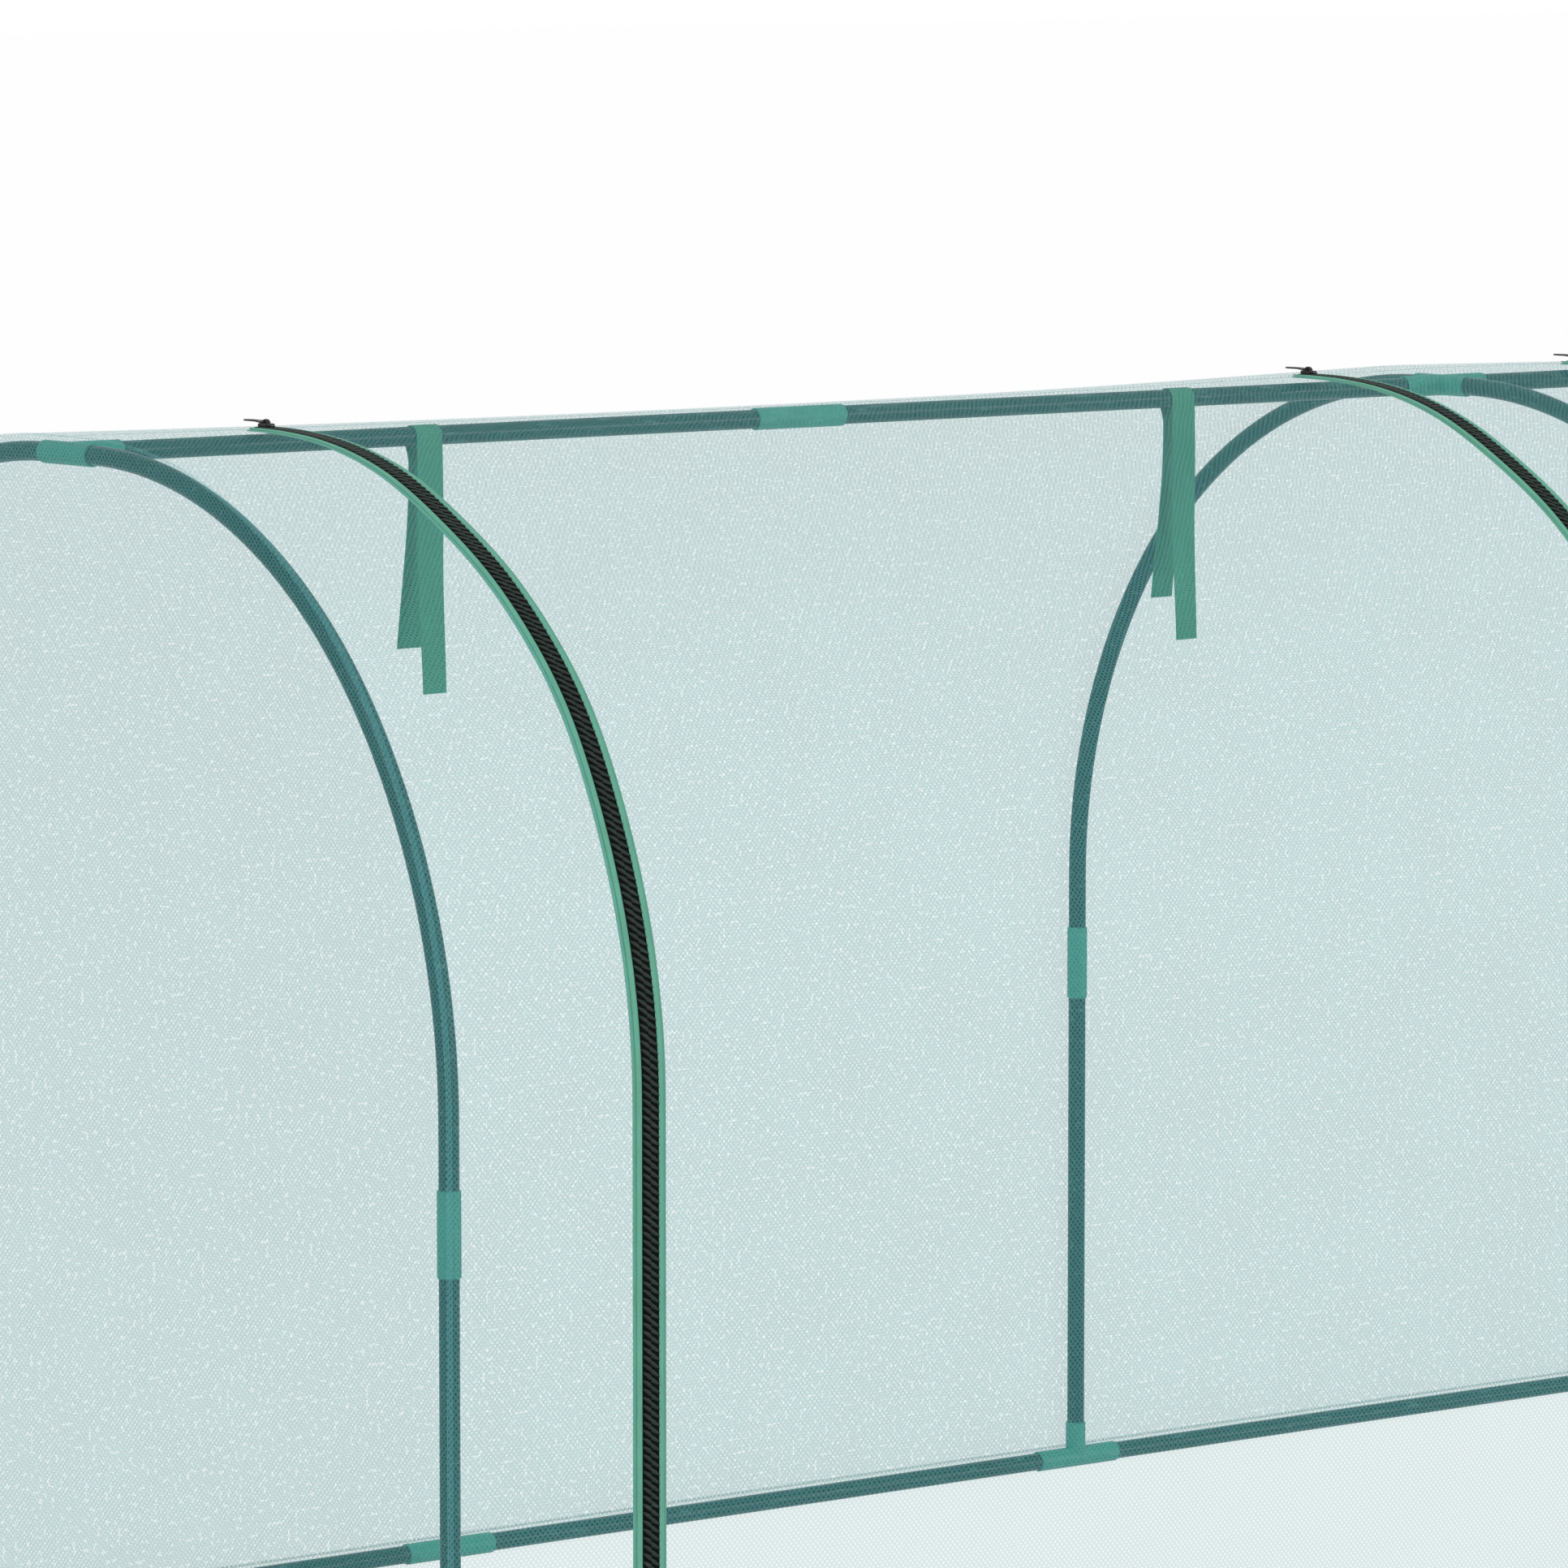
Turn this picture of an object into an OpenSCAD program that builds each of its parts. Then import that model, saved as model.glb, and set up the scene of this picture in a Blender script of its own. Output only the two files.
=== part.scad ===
// Crop cage: a low walk-round tunnel of plug-together tubes under a fine net
// cover, with two zipped doors along the front.
// X runs along the ridge, Y across, Z up. The origin is on the ground below the
// ridge, at the middle hoop. The front, with the doors, faces -Y.

/* [Frame] */
// Length of a bay, from hoop to hoop
bay_l = 1492; // [1000:4:2000]
// Width between the two ground rails, centre to centre
frame_w = 984; // [800:4:1400]
// Height of the ridge tube above the ground rails, centre to centre
ridge_rise = 1037; // [850:1:1500]
// Height of the bent part of a bow
bow_rise = 482; // [400:1:620]
// Straight tail of a bow, below its bend and down to its joint
bow_tail_l = 84; // [60:1:140]

/* [Tubes] */
// Outer diameter of every tube
tube_d = 16; // [13:0.5:22]
// Wall of every tube
tube_wall = 0.8; // [0.6:0.1:2]

/* [Fittings] */
// Wall of a moulded socket
fit_wall = 1.2; // [1:0.1:3]
// Clearance between a tube and its socket, on the radius
socket_clear = 0.1; // [0.05:0.05:0.3]
// Arm of a fitting along the ridge or the ground, from its centre
run_arm_l = 48; // [30:1:80]
// Arm of a fitting towards a leg or a bow, from its centre
branch_arm_l = 33; // [24:1:60]
// Length of an in-line sleeve on the ridge or the ground
run_sleeve_l = 95; // [60:1:140]
// Length of the in-line sleeve between a leg and its bow
leg_sleeve_l = 67; // [40:1:100]
// Thickness of the stop inside an in-line sleeve
stop_t = 2; // [1:0.5:5]
// Chamfer round the mouth of a socket
mouth_chamfer = 0.6; // [0.2:0.1:1]

/* [Cover] */
// Thickness that stands for the net and its seams
net_t = 2; // [1:0.5:4]
// Clearance between the cover and the fittings inside it
cover_clear = 0.3; // [0.2:0.1:5]

/* [Zips] */
// Width of a zip with its two bindings
zip_w = 32.5; // [20:0.5:50]
// Width of the raised chain along the middle of a zip
chain_w = 14.4; // [8:0.1:18]
// Height of the chain above the bindings
chain_rise = 1.3; // [0.5:0.1:3]
// From an end hoop to the nearest zip
end_zip_inset = 184.5; // [100:0.5:400]
// From the middle hoop to the nearest zip
mid_zip_inset = 166; // [100:0.5:400]
// How far a zip runs over the ridge onto the back
zip_over_ridge = 6; // [2:1:60]

/* [Ties] */
// Width of a roll-up tie
tie_w = 25; // [10:1:40]
// Thickness of a roll-up tie
tie_t = 1; // [0.8:0.1:2]
// Front tail of a tie, below the ridge tube
tie_front_l = 210; // [120:1:300]
// Back tail of a tie, below the ridge tube
tie_back_l = 175; // [120:1:300]
// From an end hoop to the nearest tie
end_tie_inset = 350.5; // [120:0.5:600]
// From the middle hoop to the nearest tie
mid_tie_inset = 318; // [120:1:600]

/* [Hidden] */
$fn = 48;

// Tubes and sockets
tube_r = tube_d / 2;
socket_r = tube_r + socket_clear;
fit_r = socket_r + fit_wall;
// A tube that meets a cross or corner stops this far from its centre
seat = fit_r;

// Hoops, from left to right, and the height of the ground rails' centres
hoop_x = [-bay_l, 0, bay_l];
half_w = frame_w / 2;
rail_z = fit_r;
ridge_z = rail_z + ridge_rise;

// A bow leaves the crown level and turns down in two arcs with a common tangent.
// They meet in the direction of a 3-4-5 triangle's long side, seen from either
// centre, which makes both radii plain sums of the bow's span and rise.
bend_gap = 1;
bend_y = branch_arm_l + bend_gap;
spring_z = ridge_z - bow_rise;
bow_span = half_w - bend_y;
meet = [0.8, 0.6];
meet_angle = atan2(meet[1], meet[0]);
crown_r = 1.5 * bow_span - 0.5 * bow_rise;
side_r = 2 * bow_rise - bow_span;
crown_centre = [bend_y, ridge_z - crown_r, 0];
side_centre = [half_w - side_r, spring_z, 0];

// The in-line joint of each leg and its bow
joint_z = spring_z - bow_tail_l;

// The net lies outside the fittings
net_in = fit_r + cover_clear;
net_out = net_in + net_t;
end_in = bay_l + net_in;

// Zips and ties, from left to right
zip_x = [-bay_l + end_zip_inset, -mid_zip_inset, mid_zip_inset, bay_l - end_zip_inset];
tie_x = [-bay_l + end_tie_inset, -mid_tie_inset, mid_tie_inset, bay_l - end_tie_inset];
tie_clear = 0.3;

// Slider of a zip: wide where the chain enters it, and narrow at the tail
slider_l = 15;
slider_w = 10.5;
tail_w = 7.4;
slider_h = 2.5;
slider_y = [-12, -5, -2, -8];

// Arched bridge of a slider, whose feet are sunk into the body
bridge_r = 4;
bridge_bar = 1.5;
bridge_w = 3.6;
bridge_sink = 0.9;

// Pull of a slider, with the eye that the bridge passes through
pull_l = 29;
pull_w = 7.5;
pull_t = 1.2;
pull_bar = 1.6;
pull_clear = 0.35;
pull_lift = 0.1;
pull_rise = 3;
slit_l = 8;
slit_w = 3.4;

tube_green = [0.24, 0.42, 0.41];
fitting_green = [0.30, 0.60, 0.54];
net_green = [0.72, 0.85, 0.82];
binding_green = [0.33, 0.64, 0.53];
zip_black = [0.10, 0.09, 0.09];

FRONT = -1;
BACK = 1;
ALONG = [0, 90, 0];
AGAINST = [0, -90, 0];
TO_BACK = [-90, 0, 0];
TO_FRONT = [90, 0, 0];
UP = [0, 0, 0];

// ---- Shared forms ----

// Draws a sketch of Y and Z as a solid that runs along X
module across() {
    rotate([90, 0, 90]) children();
}

// Places a piece on the front or the back, as drawn for the back
module on_side(side) {
    mirror([0, side == FRONT ? 1 : 0, 0]) children();
}

// Turns a hoop's piece to the front or the back, as drawn for the back
module facing(side) {
    rotate([0, 0, side == FRONT ? 180 : 0]) children();
}

// Swaps the two axes of a sketch, so that what turned up from X turns down from Y
module swap_axes() {
    mirror([1, -1, 0]) children();
}

// Cut end of a tube
module tube_ring() {
    difference() {
        circle(r = tube_r);
        circle(r = tube_r - tube_wall);
    }
}

// Straight tube that starts at the origin and runs up
module tube(l) {
    linear_extrude(height = l) tube_ring();
}

// Arc of tube round the origin, from the X axis towards the Y axis
module bent_tube(r, turn) {
    rotate_extrude(angle = turn) translate([r, 0]) tube_ring();
}

// Outside of a fitting's arm, with its mouth chamfered
module arm_body(l) {
    cylinder(h = l - mouth_chamfer, r = fit_r);
    translate([0, 0, l - mouth_chamfer])
        cylinder(h = mouth_chamfer, r1 = fit_r, r2 = fit_r - mouth_chamfer);
}

// Socket that a tube is pushed into, from its seat to the mouth
module socket(from, l) {
    translate([0, 0, from]) cylinder(h = l - from + 1, r = socket_r);
}

// Moulded fitting with a socket in each arm, given as [direction, length]
module fitting(arms) {
    color(fitting_green)
        difference() {
            union() {
                sphere(r = fit_r);
                for (arm = arms) rotate(arm[0]) arm_body(arm[1]);
            }
            for (arm = arms) rotate(arm[0]) socket(seat, arm[1]);
        }
}

// In-line sleeve round the origin, along Z, with its stop in the middle
module sleeve(l) {
    color(fitting_green)
        difference() {
            for (end = [UP, [180, 0, 0]]) rotate(end) arm_body(l / 2);
            for (end = [UP, [180, 0, 0]]) rotate(end) socket(stop_t / 2, l / 2);
        }
}

// Two tubes that meet in an in-line sleeve halfway between two fittings
module tube_pair(l) {
    color(tube_green)
        for (from = [seat, l / 2 + stop_t / 2])
            translate([0, 0, from]) tube(l / 2 - stop_t / 2 - seat);
}

// ---- Frame ----

// Half a hoop's bend: crown end, two arcs and a straight tail
module bow(x, side) {
    color(tube_green)
        translate([x, 0, 0]) facing(side) across() {
            translate([seat, ridge_z, 0]) rotate(ALONG) tube(bend_y - seat);
            translate(crown_centre) swap_axes() bent_tube(crown_r, 90 - meet_angle);
            translate(side_centre) bent_tube(side_r, meet_angle);
            translate([half_w, joint_z + stop_t / 2, 0])
                rotate(TO_BACK) tube(bow_tail_l - stop_t / 2);
        }
}

// Straight leg, from a ground fitting up to its sleeve
module leg(x, side) {
    color(tube_green)
        translate([x, side * half_w, rail_z + seat])
            tube(joint_z - stop_t / 2 - rail_z - seat);
}

module leg_sleeves() {
    for (x = hoop_x, side = [FRONT, BACK])
        translate([x, side * half_w, joint_z]) sleeve(leg_sleeve_l);
}

// Fitting at the top of an end hoop, with one arm along the ridge
module crown_tee(x, ridge_way) {
    translate([x, 0, ridge_z])
        fitting([[TO_BACK, branch_arm_l], [TO_FRONT, branch_arm_l], [ridge_way, run_arm_l]]);
}

module crown_cross() {
    translate([0, 0, ridge_z])
        fitting([
            [TO_BACK, branch_arm_l], [TO_FRONT, branch_arm_l],
            [ALONG, run_arm_l], [AGAINST, run_arm_l]
        ]);
}

// Three-way fitting at a corner of the ground frame
module corner(x, side, rail_way, bar_way) {
    translate([x, side * half_w, rail_z])
        fitting([[UP, branch_arm_l], [rail_way, run_arm_l], [bar_way, run_arm_l]]);
}

// Fitting at the foot of the middle hoop
module ground_tee(side) {
    translate([0, side * half_w, rail_z])
        fitting([[UP, branch_arm_l], [ALONG, run_arm_l], [AGAINST, run_arm_l]]);
}

module ridge(x) {
    translate([x, 0, ridge_z]) rotate(ALONG) tube_pair(bay_l);
}

module ridge_sleeves() {
    for (x = [hoop_x[0], hoop_x[1]])
        translate([x + bay_l / 2, 0, ridge_z]) rotate(ALONG) sleeve(run_sleeve_l);
}

module rail(side) {
    for (x = [hoop_x[0], hoop_x[1]])
        translate([x, side * half_w, rail_z]) rotate(ALONG) tube_pair(bay_l);
}

module end_bar(x) {
    translate([x, -half_w, rail_z]) rotate(TO_BACK) tube_pair(frame_w);
}

// Sleeves of the two rails and of the two end bars
module rail_sleeves() {
    for (x = [hoop_x[0], hoop_x[1]], side = [FRONT, BACK])
        translate([x + bay_l / 2, side * half_w, rail_z]) rotate(ALONG) sleeve(run_sleeve_l);
    for (x = [hoop_x[0], hoop_x[2]])
        translate([x, 0, rail_z]) rotate(TO_BACK) sleeve(run_sleeve_l);
}

// ---- Cover ----

// Slice of a disc between two directions, given as points on the unit circle
module slice(r, from, to) {
    intersection() {
        circle(r = r);
        polygon([[0, 0], 2 * r * from, 2 * r * to]);
    }
}

// Section through the tunnel on the back side, at a distance outside the tubes' centres
module half_section(out) {
    square([half_w + out, spring_z]);
    square([bend_y, ridge_z + out]);
    translate(crown_centre) slice(crown_r + out, meet, [0, 1]);
    translate(side_centre) slice(side_r + out, [1, 0], meet);
}

// One side of the cover between two places along the ridge
module net_side(side, x_from, x_to, inside = net_in, outside = net_out) {
    translate([x_from, 0, 0]) on_side(side) across()
        linear_extrude(height = x_to - x_from)
            difference() {
                half_section(outside);
                half_section(inside);
            }
}

// Fixed strip of the front, beside the zips
module net_strip(x_from, x_to) {
    color(net_green) net_side(FRONT, x_from, x_to);
}

// Roll-up door between two zips
module door(left_zip, right_zip) {
    color(net_green) net_side(FRONT, left_zip + zip_w / 2, right_zip - zip_w / 2);
}

// Back of the cover, notched at the ridge for the ends of the zips
module net_back() {
    color(net_green)
        difference() {
            net_side(BACK, -end_in, end_in);
            for (x = zip_x)
                translate([x - zip_w / 2, -1, ridge_z])
                    cube([zip_w, zip_over_ridge + 1, 2 * net_out]);
        }
}

// Closed end of the cover, sewn to both of its sides
module net_end(x_from) {
    color(net_green)
        translate([x_from, 0, 0])
            for (side = [FRONT, BACK])
                on_side(side) across() linear_extrude(height = net_t) half_section(net_out);
}

// Band of a zip, from the ground over the ridge
module zip_band(x, w, inside, outside) {
    net_side(FRONT, x - w / 2, x + w / 2, inside, outside);
    translate([x - w / 2, 0, ridge_z + inside]) cube([w, zip_over_ridge, outside - inside]);
}

// Zip: two bindings with the raised chain between them
module zip(x) {
    color(binding_green) {
        zip_band(x, zip_w, net_in, net_out);
        zip_band(x, chain_w, net_in + net_t / 2, net_out + chain_rise);
    }
}

// Plan of a slider's body, with rounded ends and sides that draw in towards the tail
module slider_plan() {
    intersection() {
        circle(r = slider_l / 2);
        polygon([
            [-tail_w / 2, -slider_l], [tail_w / 2, -slider_l],
            [slider_w / 2, 0], [slider_w / 2, slider_l],
            [-slider_w / 2, slider_l], [-slider_w / 2, 0]
        ]);
    }
}

// Arched bridge that holds the pull, above the body's top
module bridge() {
    translate([-bridge_w / 2, 0, slider_h - bridge_sink])
        rotate([90, 0, 90])
            rotate_extrude(angle = 180)
                translate([bridge_r - bridge_bar, 0]) square([bridge_bar, bridge_w]);
}

module slider() {
    linear_extrude(height = slider_h) slider_plan();
    bridge();
}

// Eye of a pull: square where the pull hangs on the bridge, round at the other side
module pull_eye() {
    eye_w = bridge_w + 2 * pull_clear;
    translate([-eye_w / 2, pull_bar]) square([eye_w, pull_w / 2 - pull_bar]);
    translate([0, pull_w / 2]) circle(d = eye_w);
}

// Flat pull with round ends, an eye and a slit
module pull() {
    linear_extrude(height = pull_t)
        difference() {
            union() {
                for (y = [pull_w / 2, pull_l - pull_w / 2])
                    translate([0, y]) circle(d = pull_w);
                translate([-pull_w / 2, pull_w / 2]) square([pull_w, pull_l - pull_w]);
            }
            pull_eye();
            translate([-slit_w / 2, pull_w + pull_w / 2]) square([slit_w, slit_l]);
        }
}

// Places a slider on the chain of each zip, near the ridge
module at_sliders() {
    for (i = [0:3])
        translate([zip_x[i], slider_y[i], ridge_z + net_out + chain_rise]) children();
}

module zip_sliders() {
    color(zip_black) at_sliders() slider();
}

// The pulls lie back over the ridge, each with its bar under its bridge
module zip_pulls() {
    color(zip_black) at_sliders()
        translate([0, -pull_bar / 2, slider_h + pull_lift])
            rotate([pull_rise, 0, 0]) pull();
}

// Side view of a tie: over the ridge tube, and down on either side of it
module tie_outline() {
    inner_r = tube_r + tie_clear;
    outer_r = inner_r + tie_t;
    intersection() {
        difference() {
            circle(r = outer_r);
            circle(r = inner_r);
        }
        translate([-outer_r, 0]) square([2 * outer_r, outer_r]);
    }
    translate([-outer_r, -tie_front_l]) square([tie_t, tie_front_l]);
    translate([inner_r, -tie_back_l]) square([tie_t, tie_back_l]);
}

module tie() {
    across() translate([0, 0, -tie_w / 2]) linear_extrude(height = tie_w) tie_outline();
}

module roll_up_ties() {
    color(binding_green)
        for (x = tie_x) translate([x, 0, ridge_z]) tie();
}

// ---- Nodes ----

bow(hoop_x[0], FRONT);  // bow_front_1
bow(hoop_x[1], FRONT);  // bow_front_2
bow(hoop_x[2], FRONT);  // bow_front_3
bow(hoop_x[0], BACK);  // bow_back_1
bow(hoop_x[1], BACK);  // bow_back_2
bow(hoop_x[2], BACK);  // bow_back_3
leg(hoop_x[0], FRONT);  // leg_front_1
leg(hoop_x[1], FRONT);  // leg_front_2
leg(hoop_x[2], FRONT);  // leg_front_3
leg(hoop_x[0], BACK);  // leg_back_1
leg(hoop_x[1], BACK);  // leg_back_2
leg(hoop_x[2], BACK);  // leg_back_3
leg_sleeves();
crown_tee(hoop_x[0], ALONG);  // crown_tee_left
crown_cross();
crown_tee(hoop_x[2], AGAINST);  // crown_tee_right
corner(hoop_x[0], FRONT, ALONG, TO_BACK);  // corner_front_left
corner(hoop_x[2], FRONT, AGAINST, TO_BACK);  // corner_front_right
corner(hoop_x[0], BACK, ALONG, TO_FRONT);  // corner_back_left
corner(hoop_x[2], BACK, AGAINST, TO_FRONT);  // corner_back_right
ground_tee(FRONT);  // ground_tee_front
ground_tee(BACK);  // ground_tee_back
ridge(hoop_x[0]);  // ridge_left
ridge(hoop_x[1]);  // ridge_right
ridge_sleeves();
rail(FRONT);  // rail_front
rail(BACK);  // rail_back
rail_sleeves();
end_bar(hoop_x[0]);  // end_bar_left
end_bar(hoop_x[2]);  // end_bar_right
net_strip(-end_in, zip_x[0] - zip_w / 2);  // net_corner_left
net_strip(zip_x[1] + zip_w / 2, zip_x[2] - zip_w / 2);  // net_middle
net_strip(zip_x[3] + zip_w / 2, end_in);  // net_corner_right
door(zip_x[0], zip_x[1]);  // door_left
door(zip_x[2], zip_x[3]);  // door_right
net_back();
net_end(-end_in - net_t);  // net_end_left
net_end(end_in);  // net_end_right
zip(zip_x[0]);  // zip_1
zip(zip_x[1]);  // zip_2
zip(zip_x[2]);  // zip_3
zip(zip_x[3]);  // zip_4
zip_sliders();
zip_pulls();
roll_up_ties();
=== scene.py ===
"""Looks of a garden crop cage: hoops of plug-together tube under a fitted fine net, with
zipped roll-up doors along the front. Lengths are in metres, X runs along the ridge and
the doors face -Y."""
import logging
import math
from collections.abc import Callable
from dataclasses import dataclass
from enum import Enum

import bmesh
import bpy
import numpy as np
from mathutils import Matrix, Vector


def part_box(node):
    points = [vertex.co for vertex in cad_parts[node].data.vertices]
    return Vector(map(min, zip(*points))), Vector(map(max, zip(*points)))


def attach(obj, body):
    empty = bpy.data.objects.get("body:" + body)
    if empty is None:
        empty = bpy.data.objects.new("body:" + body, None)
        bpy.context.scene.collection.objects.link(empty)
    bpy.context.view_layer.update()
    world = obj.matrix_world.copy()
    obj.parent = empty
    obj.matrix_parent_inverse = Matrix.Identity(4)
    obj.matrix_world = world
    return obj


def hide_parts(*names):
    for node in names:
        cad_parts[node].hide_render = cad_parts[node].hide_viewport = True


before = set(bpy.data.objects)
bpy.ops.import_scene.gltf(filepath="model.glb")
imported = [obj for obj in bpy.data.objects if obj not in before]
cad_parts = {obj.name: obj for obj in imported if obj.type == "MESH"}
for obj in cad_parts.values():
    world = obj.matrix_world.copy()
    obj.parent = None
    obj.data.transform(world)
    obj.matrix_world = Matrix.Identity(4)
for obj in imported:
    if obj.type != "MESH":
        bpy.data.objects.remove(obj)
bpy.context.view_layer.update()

LOG = logging.getLogger("crop_cage")
ROOT = "root"
CLOTH_MAP = "Cloth"
FLOAT, VECTOR, COLOUR = "NodeSocketFloat", "NodeSocketVector", "NodeSocketColor"
Socket = bpy.types.NodeSocket
Given = dict[str, Socket]
Colour = tuple[float, float, float, float]
Triple = tuple[float, float, float]
Corner = tuple[bmesh.types.BMVert, tuple[float, float]]


class Side(Enum):
    """Long side of the tunnel, by the sign of its Y."""

    FRONT = -1
    BACK = 1


class End(Enum):
    """Closed end of the tunnel, by the sign of its X."""

    LEFT = -1
    RIGHT = 1


def paint(red: int, green: int, blue: int) -> Colour:
    """Turns a colour as it is seen, from 0 to 255, into the linear colour of a shader."""
    seen = [value / 255 for value in (red, green, blue)]
    return (*(p / 12.92 if p <= 0.04045 else ((p + 0.055) / 1.055) ** 2.4 for p in seen), 1.0)


def smooth_step(value: np.ndarray, low: float, high: float) -> np.ndarray:
    """Rises smoothly from 0 at low to 1 at high."""
    share = np.clip((value - low) / (high - low), 0.0, 1.0)
    return share * share * (3 - 2 * share)


def add_to_scene(name: str, data: bpy.types.ID) -> bpy.types.Object:
    """Makes an object and links it to the scene.

    Args:
        name: Name of the object.
        data: Its mesh, light or camera.

    Returns:
        The object, at the origin.
    """
    obj = bpy.data.objects.new(name, data)
    bpy.context.scene.collection.objects.link(obj)
    return obj


# ---- Shader wiring ----


class Wiring:
    """Adds nodes to one tree and links them. A value is a plain one or another node's output."""

    def __init__(self, tree: bpy.types.NodeTree) -> None:
        """Keeps the tree that nodes are added to."""
        self.tree = tree

    @classmethod
    def fresh(cls, owner: bpy.types.Material | bpy.types.World) -> "Wiring":
        """Starts an empty shader.

        Args:
            owner: The material or the world that it belongs to.

        Returns:
            The shader's wiring.
        """
        owner.use_nodes = True
        owner.node_tree.nodes.clear()
        return cls(owner.node_tree)

    def feed(self, socket: Socket, value: object) -> None:
        """Links an output to an input, or sets the input to a plain value.

        Args:
            socket: The input.
            value: The output or the plain value.
        """
        if isinstance(value, bpy.types.NodeSocket):
            self.tree.links.new(value, socket)
        else:
            socket.default_value = value

    def add(
        self, kind: str, settings: dict | None = None, inputs: dict | None = None
    ) -> bpy.types.Node:
        """Adds a node.

        Args:
            kind: Type of the node.
            settings: Properties of the node and their values.
            inputs: Values of its inputs, by name or number.

        Returns:
            The new node.
        """
        node = self.tree.nodes.new(kind)
        for name, value in (settings or {}).items():
            setattr(node, name, value)
        for key, value in (inputs or {}).items():
            self.feed(node.inputs[key], value)
        return node

    def math(self, operation: str, first: object, second: object = 0.0) -> Socket:
        """Adds a Math node and returns its output."""
        inputs = {0: first, 1: second}
        return self.add("ShaderNodeMath", {"operation": operation}, inputs).outputs[0]

    def plus_share(self, base: object, value: object, share: object) -> Socket:
        """Adds a share of a value to a base and returns the sum."""
        return self.math("ADD", base, self.math("MULTIPLY", value, share))

    def vector(self, operation: str, first: object, second: object = (0, 0, 0)) -> Socket:
        """Adds a Vector Math node and returns its vector."""
        inputs = {0: first, 1: second}
        return self.add("ShaderNodeVectorMath", {"operation": operation}, inputs).outputs[0]

    def scaled(self, vector: object, scale: object) -> Socket:
        """Scales a vector or a colour and returns the result."""
        inputs = {0: vector, "Scale": scale}
        return self.add("ShaderNodeVectorMath", {"operation": "SCALE"}, inputs).outputs[0]

    def ramp(
        self, value: object, low: float, high: float, start: float = 0.0, end: float = 1.0
    ) -> Socket:
        """Maps a value from one range smoothly onto another and returns the output."""
        kind, inputs = "SMOOTHSTEP", dict(enumerate((value, low, high, start, end)))
        return self.add("ShaderNodeMapRange", {"interpolation_type": kind}, inputs).outputs[0]

    def mix(self, share: object, first: object, second: object) -> Socket:
        """Adds a colour Mix node and returns its colour."""
        inputs = {0: share, 6: first, 7: second}
        return self.add("ShaderNodeMix", {"data_type": "RGBA"}, inputs).outputs[2]

    def noise(self, place: object, scale: object, detail: float = 2.0, space: str = "3D") -> Socket:
        """Adds a Noise Texture and returns its grey value."""
        inputs = {"Vector": place, "Scale": scale, "Detail": detail}
        return self.add("ShaderNodeTexNoise", {"noise_dimensions": space}, inputs).outputs[0]

    def split(self, vector: object) -> bpy.types.NodeOutputs:
        """Returns a vector's X, Y and Z."""
        return self.add("ShaderNodeSeparateXYZ", inputs={0: vector}).outputs

    def object_place(self) -> Socket:
        """Place on the object, in metres."""
        return self.add("ShaderNodeTexCoord").outputs["Object"]

    def cloth_place(self) -> Socket:
        """Place on the flat cloth, in metres, from the piece's own map."""
        return self.add("ShaderNodeUVMap", {"uv_map": CLOTH_MAP}).outputs[0]

    def bump(self, surface: bpy.types.Node, height: Socket, depth: float, strength: float) -> None:
        """Feeds a height to the surface's normal.

        Args:
            surface: The Principled BSDF.
            height: Height, usually from 0 to 1.
            depth: Metres that a height of 1 stands for.
            strength: Share of the bump that shows.
        """
        inputs = {"Height": height, "Distance": depth, "Strength": strength}
        self.feed(surface.inputs["Normal"], self.add("ShaderNodeBump", inputs=inputs).outputs[0])


@dataclass(frozen=True)
class Effect:
    """Shader node group that several finishes share. Wire makes its outputs from its inputs."""

    name: str
    inputs: tuple[tuple[str, str, object], ...]
    outputs: tuple[tuple[str, str], ...]
    wire: Callable[[Wiring, Given], tuple[Socket, ...]]

    def tree(self) -> bpy.types.NodeTree:
        """Finds the group, or builds it when it is first asked for.

        Returns:
            The group's tree.
        """
        found = bpy.data.node_groups.get(self.name)
        if found:
            return found
        tree = bpy.data.node_groups.new(self.name, "ShaderNodeTree")
        for label, kind, value in self.inputs:
            socket = tree.interface.new_socket(label, in_out="INPUT", socket_type=kind)
            if value is not None:
                socket.default_value = value
        for label, kind in self.outputs:
            tree.interface.new_socket(label, in_out="OUTPUT", socket_type=kind)
        wiring = Wiring(tree)
        into = wiring.add("NodeGroupInput")
        out = wiring.add("NodeGroupOutput")
        results = self.wire(wiring, {s.name: s for s in into.outputs if s.name})
        for (label, _), value in zip(self.outputs, results):
            wiring.feed(out.inputs[label], value)
        return tree

    def place_in(self, wiring: Wiring, **inputs: object) -> bpy.types.Node:
        """Places the group in a material.

        Args:
            wiring: Wiring of the material.
            **inputs: Values of the group's inputs, with _ for a space in a name.

        Returns:
            The group node.
        """
        values = {name.replace("_", " "): value for name, value in inputs.items()}
        return wiring.add("ShaderNodeGroup", {"node_tree": self.tree()}, values)


def wire_diamond_mesh(wiring: Wiring, given: Given) -> tuple[Socket, ...]:
    """Wires staggered diamond holes between two slanting families of soft-edged threads.

    Args:
        wiring: Wiring of the group.
        given: Its inputs. Core and edge are shares of the threads' spacing.

    Returns:
        How far the threads cover.
    """
    place = wiring.split(given["Place"])
    across = wiring.math("DIVIDE", place[0], given["Cell width"])
    along = wiring.math("DIVIDE", place[1], given["Cell height"])
    clear = []
    for operation in ("ADD", "SUBTRACT"):
        off = wiring.math("PINGPONG", wiring.math(operation, across, along), 0.5)
        clear.append(wiring.ramp(off, given["Core"], given["Edge"]))
    return (wiring.math("SUBTRACT", 1.0, wiring.math("MULTIPLY", *clear)),)


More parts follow.
